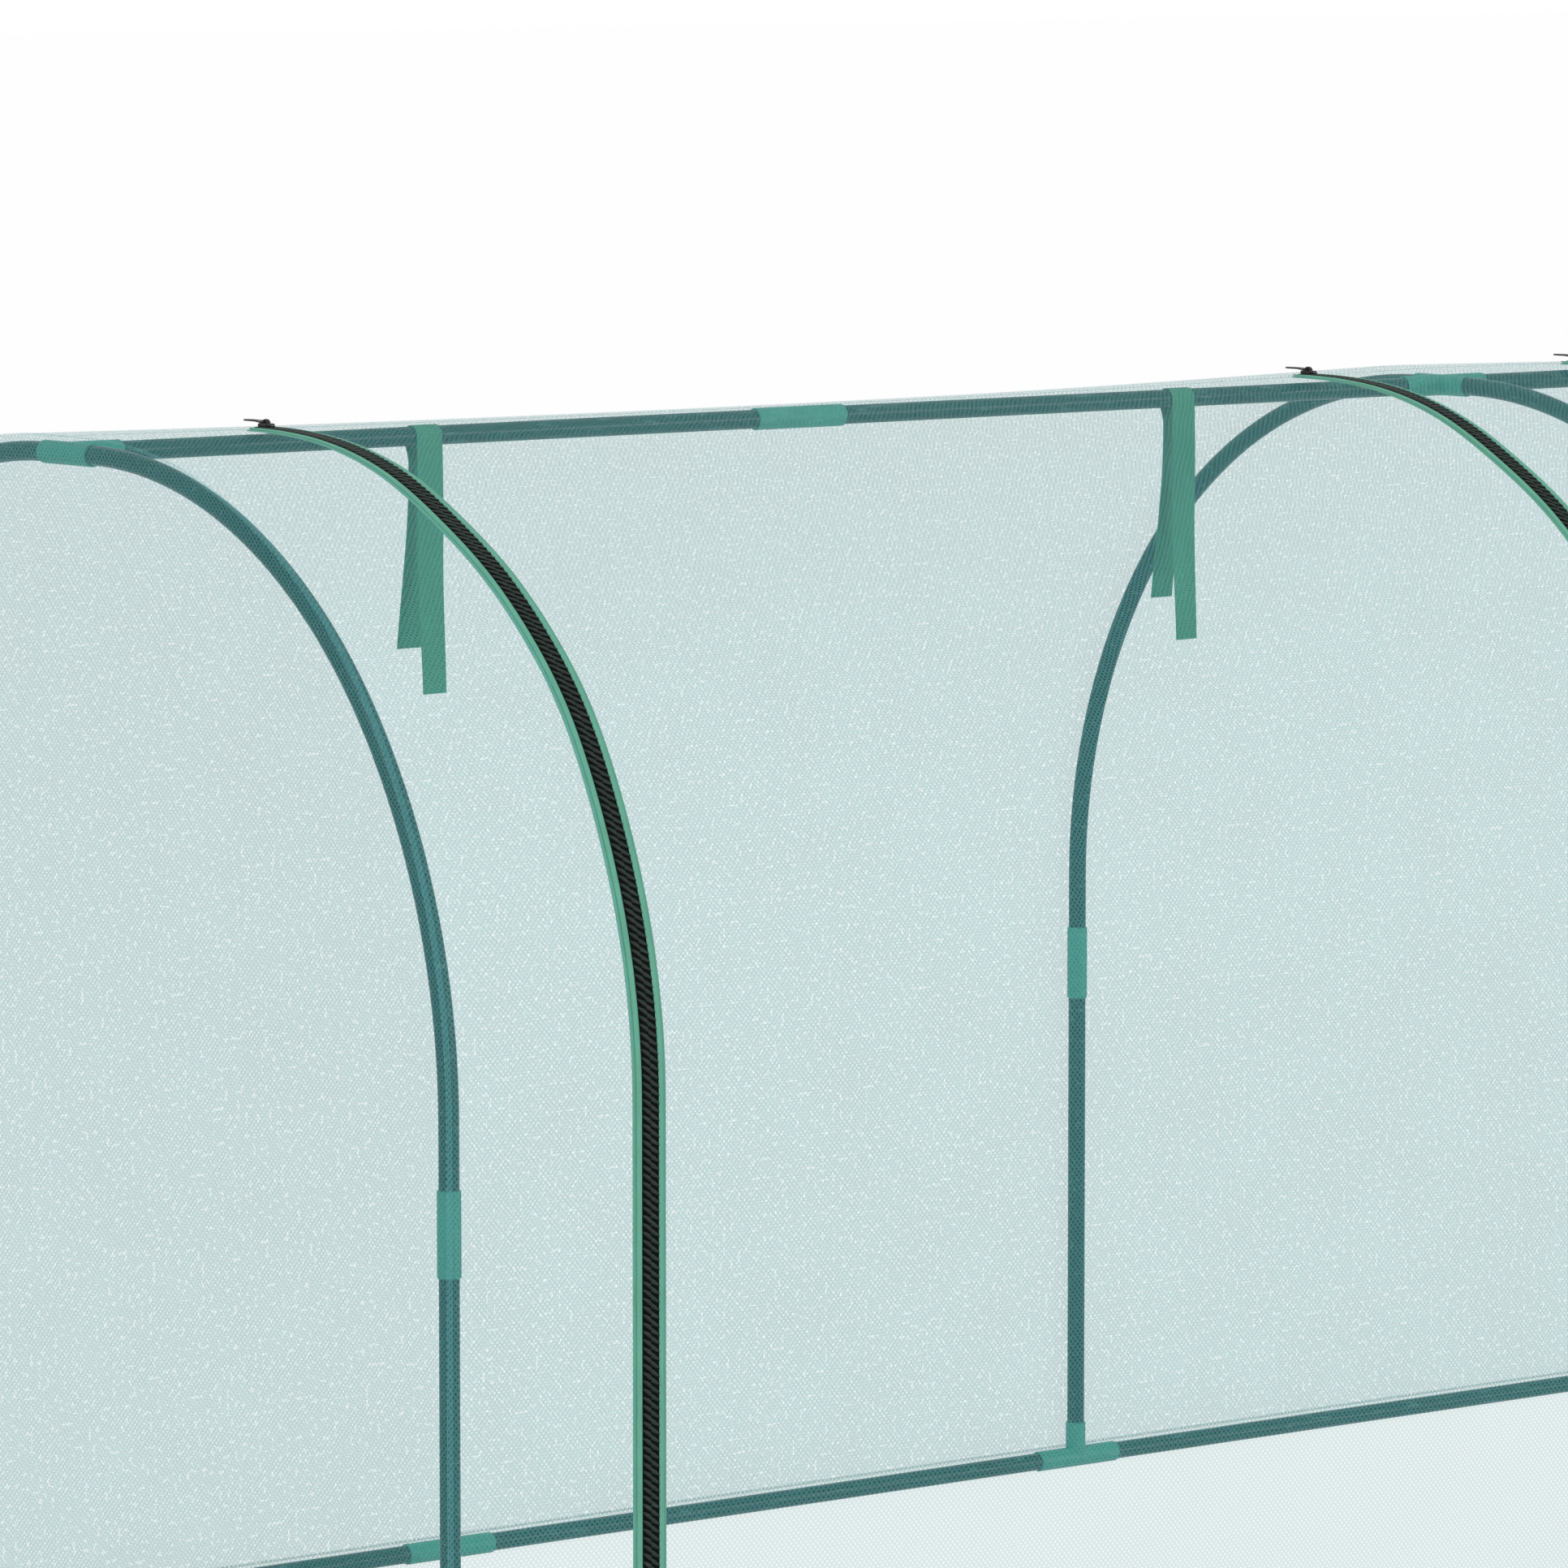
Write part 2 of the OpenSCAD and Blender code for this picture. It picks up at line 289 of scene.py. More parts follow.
def wire_woven_tape(wiring: Wiring, given: Given) -> tuple[Socket, ...]:
    """Wires the plain weave of a narrow tape, with yarns along and across it.

    Args:
        wiring: Wiring of the group.
        given: Its inputs.

    Returns:
        Height of the yarns, and a factor for their colour: painted shade where the yarns dip, with
        the slubs' uneven tone.
    """
    place = wiring.split(given["Place"])
    sines = []
    for axis in (0, 1):
        turn = wiring.math("MULTIPLY", wiring.math("DIVIDE", place[axis], given["Yarn"]), math.pi)
        sines.append(wiring.math("SINE", turn))
    warp, weft = (wiring.math("ABSOLUTE", sine) for sine in sines)
    over = wiring.ramp(wiring.math("MULTIPLY", *sines), -0.2, 0.2)
    height = wiring.math(
        "ADD",
        wiring.math("MULTIPLY", warp, over),
        wiring.math("MULTIPLY", weft, wiring.math("SUBTRACT", 1.0, over)),
    )
    slub = wiring.noise(wiring.vector("MULTIPLY", given["Place"], (900.0, 90.0, 900.0)), 1.0)
    uneven = wiring.math("MULTIPLY", wiring.math("SUBTRACT", slub, 0.5), given["Slub"])
    # Painted shade: the yarns are drawn darker where they dip between crossings.
    shade = wiring.math("MULTIPLY", height, 0.22)
    return height, wiring.math("ADD", shade, wiring.math("ADD", uneven, 0.84))


def wire_uneven_tone(wiring: Wiring, given: Given) -> tuple[Socket, ...]:
    """Wires a slow change of a colour over a surface, as dye and dust leave it.

    Args:
        wiring: Wiring of the group.
        given: Its inputs.

    Returns:
        The changed colour, and the cloud that changed it.
    """
    cloud = wiring.noise(given["Place"], given["Scale"], 1.5)
    shift = wiring.math("MULTIPLY", wiring.math("SUBTRACT", cloud, 0.5), 2.0)
    gain = wiring.plus_share(1.0, shift, given["Amount"])
    return wiring.scaled(given["Color"], gain), cloud


def wire_surface_grain(wiring: Wiring, given: Given) -> tuple[Socket, ...]:
    """Wires the fine grain of a coated or moulded surface, with a few faint handling marks.

    Args:
        wiring: Wiring of the group.
        given: Its inputs.

    Returns:
        Height of the grain, and the rubbed marks.
    """
    fine = wiring.noise(given["Place"], given["Grain"])
    stretched = wiring.vector("MULTIPLY", given["Place"], (9.0, 60.0, 60.0))
    marks = wiring.noise(stretched, 4.0, 5.0)
    return fine, wiring.math("MULTIPLY", wiring.ramp(marks, 0.56, 0.72), given["Marks"])


PLACE = ("Place", VECTOR, None)
DIAMOND_MESH = Effect(
    "Diamond mesh",
    (
        PLACE,
        ("Cell width", FLOAT, 0.0048),
        ("Cell height", FLOAT, 0.0052),
        ("Core", FLOAT, 0.1),
        ("Edge", FLOAT, 0.36),
    ),
    (("Cover", FLOAT),),
    wire_diamond_mesh,
)
# Its Shade output is painted shade in the weave's hollows, with the slubs' uneven tone.
WOVEN_TAPE = Effect(
    "Woven tape",
    (PLACE, ("Yarn", FLOAT, 0.0006), ("Slub", FLOAT, 0.25)),
    (("Height", FLOAT), ("Shade", FLOAT)),
    wire_woven_tape,
)
UNEVEN_TONE = Effect(
    "Uneven tone",
    (PLACE, ("Color", COLOUR, None), ("Scale", FLOAT, 12.0), ("Amount", FLOAT, 0.1)),
    (("Color", COLOUR), ("Mask", FLOAT)),
    wire_uneven_tone,
)
SURFACE_GRAIN = Effect(
    "Surface grain",
    (PLACE, ("Grain", FLOAT, 700.0), ("Marks", FLOAT, 0.3)),
    (("Height", FLOAT), ("Rub", FLOAT)),
    wire_surface_grain,
)


# ---- Finishes ----


@dataclass(frozen=True)
class Finish:
    """Procedural finish. Each kind wires its own surface."""

    name: str
    colour: Colour
    roughness: float = 0.5
    shine: float = 0.5

    def material(self) -> bpy.types.Material:
        """Finds the material, or builds it when it is first asked for.

        Returns:
            The material.
        """
        found = bpy.data.materials.get(self.name)
        if found:
            return found
        material = bpy.data.materials.new(self.name)
        material.diffuse_color = self.colour
        wiring = Wiring.fresh(material)
        inputs = {
            "Base Color": self.colour,
            "Roughness": self.roughness,
            "Specular IOR Level": self.shine,
        }
        surface = wiring.add("ShaderNodeBsdfPrincipled", inputs=inputs)
        wiring.add("ShaderNodeOutputMaterial", inputs={"Surface": surface.outputs[0]})
        self.wire(wiring, surface)
        return material

    def wire(self, wiring: Wiring, surface: bpy.types.Node) -> None:
        """Wires what varies over the surface."""
        raise NotImplementedError


class Dulling(Enum):
    """What makes a hard surface less glossy in places."""

    RUBS = "Rub"
    CLOUD = "Mask"


@dataclass(frozen=True)
class HardSurface(Finish):
    """Coated, moulded, enamelled or plain hard surface with a fine grain and paler rubs."""

    worn: Colour = (0.05, 0.05, 0.05, 1.0)
    tone_scale: float = 90.0
    tone_amount: float = 0.2
    grain: float = 900.0
    marks: float = 0.6
    dulled_by: Dulling = Dulling.RUBS
    dulling: float = 0.3
    depth: float = 0.00006
    relief: float = 0.4

    def wire(self, wiring: Wiring, surface: bpy.types.Node) -> None:
        """Wires the grain, the uneven tone and the rubs.

        Args:
            wiring: Wiring of the material.
            surface: Its Principled BSDF.
        """
        place = wiring.object_place()
        tone = UNEVEN_TONE.place_in(
            wiring, Place=place, Color=self.colour, Scale=self.tone_scale, Amount=self.tone_amount
        )
        grain = SURFACE_GRAIN.place_in(wiring, Place=place, Grain=self.grain, Marks=self.marks)
        colour = wiring.mix(grain.outputs["Rub"], tone.outputs["Color"], self.worn)
        wiring.feed(surface.inputs["Base Color"], colour)
        source = grain if self.dulled_by is Dulling.RUBS else tone
        dull = wiring.plus_share(self.roughness, source.outputs[self.dulled_by.value], self.dulling)
        wiring.feed(surface.inputs["Roughness"], dull)
        wiring.bump(surface, grain.outputs["Height"], self.depth, self.relief)


@dataclass(frozen=True)
class NetCloth(Finish):
    """Fine net of knitted thread.

    A veil of loose filaments dims its openings a little, and the knit is thin in spots.
    """

    cell_width: float = 0.0048
    cell_height: float = 0.0052
    thread_cover: float = 0.250
    veil: float = 0.096
    thin: float = 0.0
    drift_scale: float = 14.0
    drift_pull: Triple = (0.0040, -0.0028, 0.0)
    drift_tone: float = 0.06
    spot_scale: float = 230.0
    spot_edges: tuple[float, float] = (0.67, 0.77)

    def wire(self, wiring: Wiring, surface: bpy.types.Node) -> None:
        """Wires the threads into the alpha. A wall's far face lets all through, so it counts once.

        Args:
            wiring: Wiring of the material.
            surface: Its Principled BSDF.
        """
        place = wiring.cloth_place()
        drift = wiring.noise(place, self.drift_scale, 0.0, "2D")
        pale = [min(1.0, part * (1 + self.drift_tone)) for part in self.colour]
        dark = [part * (1 - self.drift_tone) for part in self.colour]
        wiring.feed(surface.inputs["Base Color"], wiring.mix(drift, dark, pale))
        uneven = wiring.vector("ADD", place, wiring.scaled(self.drift_pull, drift))
        mesh = DIAMOND_MESH.place_in(
            wiring, Place=uneven, Cell_width=self.cell_width, Cell_height=self.cell_height
        )
        cover = wiring.plus_share(self.veil, mesh.outputs["Cover"], self.thread_cover)
        knit = wiring.noise(place, self.spot_scale, 0.0, "2D")
        spots = wiring.math("MULTIPLY", wiring.ramp(knit, *self.spot_edges), self.thin)
        cover = wiring.math("MULTIPLY", cover, wiring.math("SUBTRACT", 1.0, spots))
        far_face = wiring.add("ShaderNodeNewGeometry").outputs["Backfacing"]
        near = wiring.math("SUBTRACT", 1.0, far_face)
        wiring.feed(surface.inputs["Alpha"], wiring.math("MULTIPLY", cover, near))


@dataclass(frozen=True)
class Tape(Finish):
    """Woven tape or strap, dyed in the piece."""

    yarn: float = 0.0006
    depth: float = 0.00018
    slub: float = 0.3
    selvedge: float = 1.0
    selvedge_shade: float = 0.7
    selvedge_blur: float = 0.0002

    def wire(self, wiring: Wiring, surface: bpy.types.Node) -> None:
        """Wires the weave into the colour, with painted shade where the yarns dip, and into the
        bump.

        Args:
            wiring: Wiring of the material.
            surface: Its Principled BSDF.
        """
        place = wiring.cloth_place()
        tone = UNEVEN_TONE.place_in(
            wiring, Place=place, Color=self.colour, Scale=25.0, Amount=0.14
        )
        weave = WOVEN_TAPE.place_in(wiring, Place=place, Yarn=self.yarn, Slub=self.slub)
        low, high = self.selvedge - self.selvedge_blur, self.selvedge + self.selvedge_blur
        edge = wiring.ramp(wiring.split(place)[0], low, high, 1.0, self.selvedge_shade)
        # The weave's painted shade and the slubs' tone, times the selvedge's darker tone.
        shade = wiring.math("MULTIPLY", weave.outputs["Shade"], edge)
        wiring.feed(surface.inputs["Base Color"], wiring.scaled(tone.outputs["Color"], shade))
        smoother = wiring.math("MULTIPLY", weave.outputs["Height"], 0.12)
        wiring.feed(surface.inputs["Roughness"], wiring.math("SUBTRACT", self.roughness, smoother))
        wiring.bump(surface, weave.outputs["Height"], self.depth, 0.7)


TUBE_COAT = HardSurface(
    "Powder coat",
    paint(0, 56, 53),
    roughness=0.3,
    shine=0.17,
    worn=paint(96, 138, 134),
    tone_scale=7.0,
    tone_amount=0.14,
    grain=520.0,
    marks=0.5,
    dulling=0.25,
    depth=0.00012,
    relief=0.35,
)
FITTING_PLASTIC = HardSurface(
    "Fitting plastic",
    paint(46, 142, 123),
    roughness=0.42,
    shine=0.4,
    worn=paint(120, 184, 168),
    tone_scale=30.0,
    tone_amount=0.12,
    grain=1400.0,
    marks=0.35,
    dulled_by=Dulling.CLOUD,
    dulling=0.15,
    depth=0.0001,
    relief=0.5,
)
NET_CLOTH = NetCloth("Crop net", paint(106, 176, 178), 0.62, 0.15)
BACK_CLOTH = NetCloth(
    "Crop net back", paint(106, 176, 178), 0.62, 0.15, thread_cover=0.19, veil=0.150, thin=0.85
)
BINDING_TAPE = Tape(
    "Binding tape",
    paint(98, 170, 145),
    roughness=0.72,
    shine=0.4,
    yarn=0.0005,
    selvedge=0.0066,
    selvedge_shade=0.88,
)
TIE_STRAP = Tape("Tie strap", paint(58, 141, 105), 0.78, yarn=0.0009, depth=0.0003)
# The zip tape's near-black colour is partly the tape's own black and partly painted shade for the
# gaps between the chain's turns.
ZIP_TAPE = Tape("Zip tape", paint(5, 8, 7), 0.9, 0.1, yarn=0.0007)
COIL_NYLON = HardSurface("Coil nylon", paint(33, 45, 42), 0.5, 0.16, worn=paint(61, 69, 67))
SLIDER_ENAMEL = HardSurface("Slider enamel", paint(16, 15, 15), 0.3, 0.3, worn=paint(60, 58, 57))
SEWING_THREAD = HardSurface("Sewing thread", paint(104, 176, 152), 0.6, worn=paint(130, 190, 170))
HEM_THREAD = HardSurface("Hem thread", paint(88, 150, 138), 0.6, worn=paint(120, 176, 164))


# ---- Mesh making ----


@dataclass
class Patch:
    """Grid of points on a middle surface, with the way out and the place on the flat cloth."""

    points: np.ndarray
    out: np.ndarray
    flat: np.ndarray


@dataclass
class Line:
    """Points of a line on the cover, with the way out and the length down the side at each."""

    points: np.ndarray
    out: np.ndarray
    along: np.ndarray


def solid_from(bm: bmesh.types.BMesh, name: str, sharp_degrees: float = 40.0) -> bpy.types.Object:
    """Turns a closed bmesh into an object whose faces point outwards.

    Args:
        bm: The closed mesh, which is freed.
        name: Name of the piece.
        sharp_degrees: Edges that turn by more than this are drawn sharp.

    Returns:
        The new object, at the origin.
    """
    if bm.calc_volume(signed=True) < 0:
        bmesh.ops.reverse_faces(bm, faces=bm.faces[:])
    mesh = bpy.data.meshes.new(name)
    bm.to_mesh(mesh)
    bm.free()
    mesh.shade_smooth()
    mesh.set_sharp_from_angle(angle=math.radians(sharp_degrees))
    return add_to_scene(name, mesh)


def add_face(bm: bmesh.types.BMesh, corners: list[Corner]) -> None:
    """Adds one face with its places on the flat cloth.

    Args:
        bm: Mesh that the face is added to.
        corners: Its vertices, each with its place.
    """
    layer = bm.loops.layers.uv[CLOTH_MAP]
    face = bm.faces.new([vert for vert, _ in corners])
    for loop, (_, place) in zip(face.loops, corners):
        loop[layer].uv = place


def add_thin_wall(bm: bmesh.types.BMesh, patch: Patch, thickness: float) -> None:
    """Adds a closed thin wall round a patch's middle surface.

    Args:
        bm: Mesh that the wall is added to.
        patch: The middle surface.
        thickness: Distance between the wall's two faces.
    """
    rows, columns = patch.points.shape[:2]
    layers = []
    for share in (0.5, -0.5):
        moved = patch.points + patch.out * (share * thickness)
        layers.append([[bm.verts.new(moved[i, j]) for j in range(columns)] for i in range(rows)])
    outer, inner = layers
    rim = [(i, 0) for i in range(rows)]
    rim += [(rows - 1, j) for j in range(1, columns)]
    rim += [(i, columns - 1) for i in range(rows - 2, -1, -1)]
    rim += [(0, j) for j in range(columns - 2, 0, -1)]

    def corners(layer: list, places: list[tuple[int, int]]) -> list[Corner]:
        """Corners of one layer at these places in the grid."""
        return [(layer[i][j], patch.flat[i, j]) for i, j in places]

    for i in range(rows - 1):
        for j in range(columns - 1):
            around = [(i, j), (i + 1, j), (i + 1, j + 1), (i, j + 1)]
            add_face(bm, corners(outer, around))
            add_face(bm, corners(inner, around[::-1]))
    for place, following in zip(rim, rim[1:] + rim[:1]):
        add_face(bm, corners(outer, [following, place]) + corners(inner, [place, following]))


def cloth_piece(name: str, patches: list[Patch], thickness: float) -> bpy.types.Object:
    """Makes one piece of cloth, each of its patches a closed thin wall.

    Args:
        name: Name of the piece.
        patches: Its patches.
        thickness: Thickness of the cloth.

    Returns:
        The piece.
    """
    bm = bmesh.new()
    bm.loops.layers.uv.new(CLOTH_MAP)
    for patch in patches:
        add_thin_wall(bm, patch, thickness)
    return solid_from(bm, name, 60.0)


def swept_piece(
    name: str,
    line: Line,
    way_across: float,
    section: list[tuple[float, float]],
    sharp_degrees: float = 40.0,
) -> bpy.types.Object:
    """Sweeps a closed section down a line on the cover.

    Args:
        name: Name of the piece.
        line: The line.
        way_across: 1 where the section's width runs along X, and -1 where it runs against it.
        section: Points of the section, each as its place across and its height.
        sharp_degrees: Edges that turn by more than this are drawn sharp.

    Returns:
        The piece.
    """
    bm = bmesh.new()
    bm.loops.layers.uv.new(CLOTH_MAP)
    closed = np.array(section + section[:1])
    girth = np.concatenate([[0.0], np.cumsum(np.hypot(*np.diff(closed, axis=0).T))])
    across = np.array([way_across, 0.0, 0.0])
    rings = [
        [bm.verts.new(point + across * width + out * height) for width, height in section]
        for point, out in zip(line.points, line.out)
    ]
    for ring, following, low, high in zip(rings, rings[1:], line.along, line.along[1:]):
        for i in range(len(section)):
            j = (i + 1) % len(section)
            near = [(ring[i], (girth[i], low)), (ring[j], (girth[i + 1], low))]
            far = [(following[j], (girth[i + 1], high)), (following[i], (girth[i], high))]
            add_face(bm, near + far)
    for ring, length in ((rings[0][::-1], line.along[0]), (rings[-1], line.along[-1])):
        add_face(bm, [(vert, (0.0, length)) for vert in ring])
    return solid_from(bm, name, sharp_degrees)


def close_skin(bm: bmesh.types.BMesh, rings: list[list[bmesh.types.BMVert]]) -> None:
    """Joins rings of vertices into a closed skin whose faces point outwards.

    Args:
        bm: Mesh that holds the vertices.
        rings: The rings, each with as many vertices.
    """
    made = []
    for ring, following in zip(rings, rings[1:]):
        for i in range(len(ring)):
            j = (i + 1) % len(ring)
            made.append(bm.faces.new([ring[i], ring[j], following[j], following[i]]))
    made.append(bm.faces.new(rings[0][::-1]))
    made.append(bm.faces.new(rings[-1]))
    bmesh.ops.recalc_face_normals(bm, faces=made)


def plain_mesh(obj: bpy.types.Object) -> None:
    """Bakes an object's modifiers into its mesh.

    Args:
        obj: The object.
    """
    graph = bpy.context.evaluated_depsgraph_get()
    mesh = bpy.data.meshes.new_from_object(obj.evaluated_get(graph))
    obj.modifiers.clear()
    obj.data = mesh


def dress(obj: bpy.types.Object, finish: Finish) -> bpy.types.Object:
    """Gives a piece its finish and lets it ride on the root.

    Args:
        obj: The piece.
        finish: Its finish.

    Returns:
        The piece.
    """
    obj.data.materials.clear()
    obj.data.materials.append(finish.material())
    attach(obj, ROOT)
    LOG.info("%s: %d faces", obj.name, len(obj.data.polygons))
    return obj


# ---- Pieces that repeat along a line ----


@dataclass(frozen=True)
class Run:
    """Row of small pieces along a line, made by Geometry Nodes."""

    spacing: float
    jitter: float = 0.06
    seed: int = 7

    LABEL = "Pieces along a line"
    SOCKETS = (
        ("Geometry", "NodeSocketGeometry"),
        ("Spacing", FLOAT),
        ("Piece", "NodeSocketObject"),
        ("Across", VECTOR),
        ("Jitter", FLOAT),
        ("Seed", "NodeSocketInt"),
        ("Finish", "NodeSocketMaterial"),
    )

    def tree(self) -> bpy.types.NodeTree:
        """Finds the tree, or builds it when it is first asked for.

        Returns:
            The tree.
        """
        found = bpy.data.node_groups.get(self.LABEL)
        if found:
            return found
        tree = bpy.data.node_groups.new(self.LABEL, "GeometryNodeTree")
        for name, kind in self.SOCKETS:
            tree.interface.new_socket(name, in_out="INPUT", socket_type=kind)
        tree.interface.new_socket("Geometry", in_out="OUTPUT", socket_type="NodeSocketGeometry")
        wiring = Wiring(tree)
        given = {s.name: s for s in wiring.add("NodeGroupInput").outputs if s.name}
        line = wiring.add("GeometryNodeMeshToCurve", inputs={"Mesh": given["Geometry"]})
        spots = wiring.add(
            "GeometryNodeCurveToPoints",
            {"mode": "LENGTH"},
            {"Curve": line.outputs[0], "Length": given["Spacing"]},
        )
        tangent = spots.outputs["Tangent"]
        out = wiring.vector("CROSS_PRODUCT", given["Across"], tangent)
        turned = wiring.add("FunctionNodeAlignRotationToVector", {"axis": "Y"}, {"Vector": tangent})
        upright = wiring.add(
            "FunctionNodeAlignRotationToVector",
            {"axis": "Z", "pivot_axis": "Y"},
            {"Rotation": turned.outputs[0], "Vector": out},
        )
        size = wiring.add("FunctionNodeRandomValue", {"data_type": "FLOAT"})
        least, most = [s for s in size.inputs if s.type == "VALUE"][:2]
        wiring.feed(least, wiring.math("SUBTRACT", 1.0, given["Jitter"]))
        wiring.feed(most, wiring.math("ADD", 1.0, given["Jitter"]))
        wiring.feed(size.inputs["Seed"], given["Seed"])
        picked = next(s for s in size.outputs if s.type == "VALUE" and s.enabled)
        shape = wiring.add("GeometryNodeObjectInfo", inputs={"Object": given["Piece"]})
        inputs = {
            "Points": spots.outputs["Points"],
            "Instance": shape.outputs["Geometry"],
            "Rotation": upright.outputs[0],
            "Scale": picked,
        }
        placed = wiring.add("GeometryNodeInstanceOnPoints", inputs=inputs)
        real = wiring.add("GeometryNodeRealizeInstances", inputs={0: placed.outputs[0]})
        inputs = {"Geometry": real.outputs[0], "Material": given["Finish"]}
        finished = wiring.add("GeometryNodeSetMaterial", inputs=inputs)
        wiring.add("NodeGroupOutput", inputs={0: finished.outputs[0]})
        return tree

    def make(
        self,
        name: str,
        lines: list[np.ndarray],
        shape: bpy.types.Object,
        across: Triple,
        finish: Finish,
        slot: str,
    ) -> bpy.types.Object:
        """Makes the row as one plain mesh and dresses it.

        Args:
            name: Name of the piece.
            lines: Lines that the small pieces follow, each as its points.
            shape: Small piece, with its length along Y and its top along Z.
            across: Way across the lines, which with their direction gives the way out.
            finish: Finish of the small pieces.
            slot: Not used.

        Returns:
            The row.
        """
        edges, first = [], 0
        for line in lines:
            edges += [(first + k, first + k + 1) for k in range(len(line) - 1)]
            first += len(line)
        guide = bpy.data.meshes.new("guide")
        guide.from_pydata([tuple(point) for point in np.concatenate(lines)], edges, [])
        row = add_to_scene(name, guide)
        modifier = row.modifiers.new("Run", "NODES")
        modifier.node_group = self.tree()
        values = {
            "Spacing": self.spacing,
            "Piece": shape,
            "Across": across,
            "Jitter": self.jitter,
            "Seed": self.seed,
            "Finish": finish.material(),
        }
        for item in modifier.node_group.interface.items_tree:
            if item.in_out == "INPUT" and item.name in values:
                modifier[item.identifier] = values[item.name]
        plain_mesh(row)
        row.data.name = name
        return dress(row, finish)


def stitch_shape(length: float, width: float, height: float) -> bpy.types.Object:
    """Makes one stitch: a short plump thread that dips at both ends.

    Args:
        length: Its length.
        width: Its width.
        height: Its height.

    Returns:
        The stitch, with its length along Y and its top along Z.
    """
    bm = bmesh.new()
    bmesh.ops.create_icosphere(bm, subdivisions=1, radius=1.0)
    for vert in bm.verts:
        x, y, z = vert.co
        dip = height * (0.5 - 0.6 * y * y)
        vert.co = (x * width / 2, y * length / 2, z * height / 2 + dip)
    return solid_from(bm, "stitch_pattern", 180.0)


def coil_shape(
    reach: float, slant: float, pitch: float, height: float, sides: int = 6, steps: int = 4
) -> bpy.types.Object:
    """Makes one turn of the chain: two crowned half bars that slant and meet in the middle.

    Args:
        reach: Half its width across the zip.
        slant: How far its right end lies below its left end, along the zip.
        pitch: Distance to the next turn.
        height: Its height above the tape.
        sides: Sides of each bar.
        steps: Steps along each bar.

    Returns:
        The turn, with its length along Y and its top along Z.
    """
    bm = bmesh.new()
    tip, root = pitch * 0.09, pitch * 0.23
    for half in (-1, 1):
        rings = []
        for out in (k / steps for k in range(steps + 1)):
            crown = math.sin(math.pi * (0.16 + 0.68 * out)) ** 0.5
            thick = tip + root * (1 - out**2.4)
            drop = tip + slant / 2 * out
            centre = Vector((-half * reach * out, half * drop, height * (crown - 0.62)))
            ring = []
            for turn in (2 * math.pi * i / sides for i in range(sides)):
                rise = math.sin(turn) * height * 0.55
                ring.append(bm.verts.new(centre + Vector((0, math.cos(turn) * thick, rise))))
            rings.append(ring)
        close_skin(bm, rings)
    return solid_from(bm, "coil_pattern", 60.0)


# ---- Shape of the tunnel ----


def middle_of(node: str) -> Vector:
    """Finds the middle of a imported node's box.

    Args:
        node: Name of the node.

    Returns:
        The middle.
    """
    low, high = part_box(node)
    return (low + high) / 2


@dataclass(frozen=True)
class HoopLine:
    """Line that a hoop's tubes follow, and the surfaces that lie outside it.

    A place is its length down the side from the middle of the ridge, measured on the cover.
    """

    half_width: float
    ridge_z: float
    spring_z: float
    flat: float = 0.034
    crown_radius: float = 0.446
    side_radius: float = 0.506
    measured_out: float = 0.0106
    crown_turn: float = math.atan2(0.8, 0.6)
    side_turn: float = math.atan2(0.6, 0.8)

    @property
    def bends(self) -> Triple:
        """Finds where the crown's bend, the side's bend and the straight begin.

        Returns:
            The three places.
        """
        first = self.flat
        second = first + (self.crown_radius + self.measured_out) * self.crown_turn
        return first, second, second + (self.side_radius + self.measured_out) * self.side_turn

    @property
    def girth(self) -> float:
        """Length from the middle of the ridge to the ground."""
        return self.bends[2] + self.spring_z

    def turned(self, past: np.ndarray, radius: float, most: float) -> np.ndarray:
        """Angle that a bend has turned through at a length past its start."""
        return np.clip(past / (radius + self.measured_out), 0, most)

    def at(self, place: np.ndarray, out: np.ndarray, side: Side) -> tuple[np.ndarray, np.ndarray]:
        """Finds points at a distance outside the line, and the way out there.

        Args:
            place: Lengths from the middle of the ridge, negative ones beyond it.
            out: Distances outside the tubes' centres.
            side: Side of the tunnel.

        Returns:
            Points and directions, each with its Y and Z.
        """
        first, second, third = self.bends
        turn = self.turned(place - first, self.crown_radius, self.crown_turn)
        turn = turn + self.turned(place - second, self.side_radius, self.side_turn)
        way_y, way_z = np.sin(turn), np.cos(turn)
        on_side = place > second
        radius = np.where(on_side, self.side_radius, self.crown_radius) + out
        middle_y = np.where(on_side, self.half_width - self.side_radius, self.flat)
        middle_z = np.where(on_side, self.spring_z, self.ridge_z - self.crown_radius)
        y = middle_y + radius * way_y + np.minimum(place - first, 0)
        z = middle_z + radius * way_z - np.maximum(place - third, 0)
        points = np.stack([y * side.value, z], -1)
        return points, np.stack([way_y * side.value, way_z], -1)


@dataclass(frozen=True)
class Swell:
    """Smooth swelling of the cover round one place."""

    height: float
    middle: float
    spread: float

    def at(self, place: np.ndarray) -> np.ndarray:
        """Height of the swelling at each place."""
        return self.height * np.exp(-(((place - self.middle) / self.spread) ** 2))


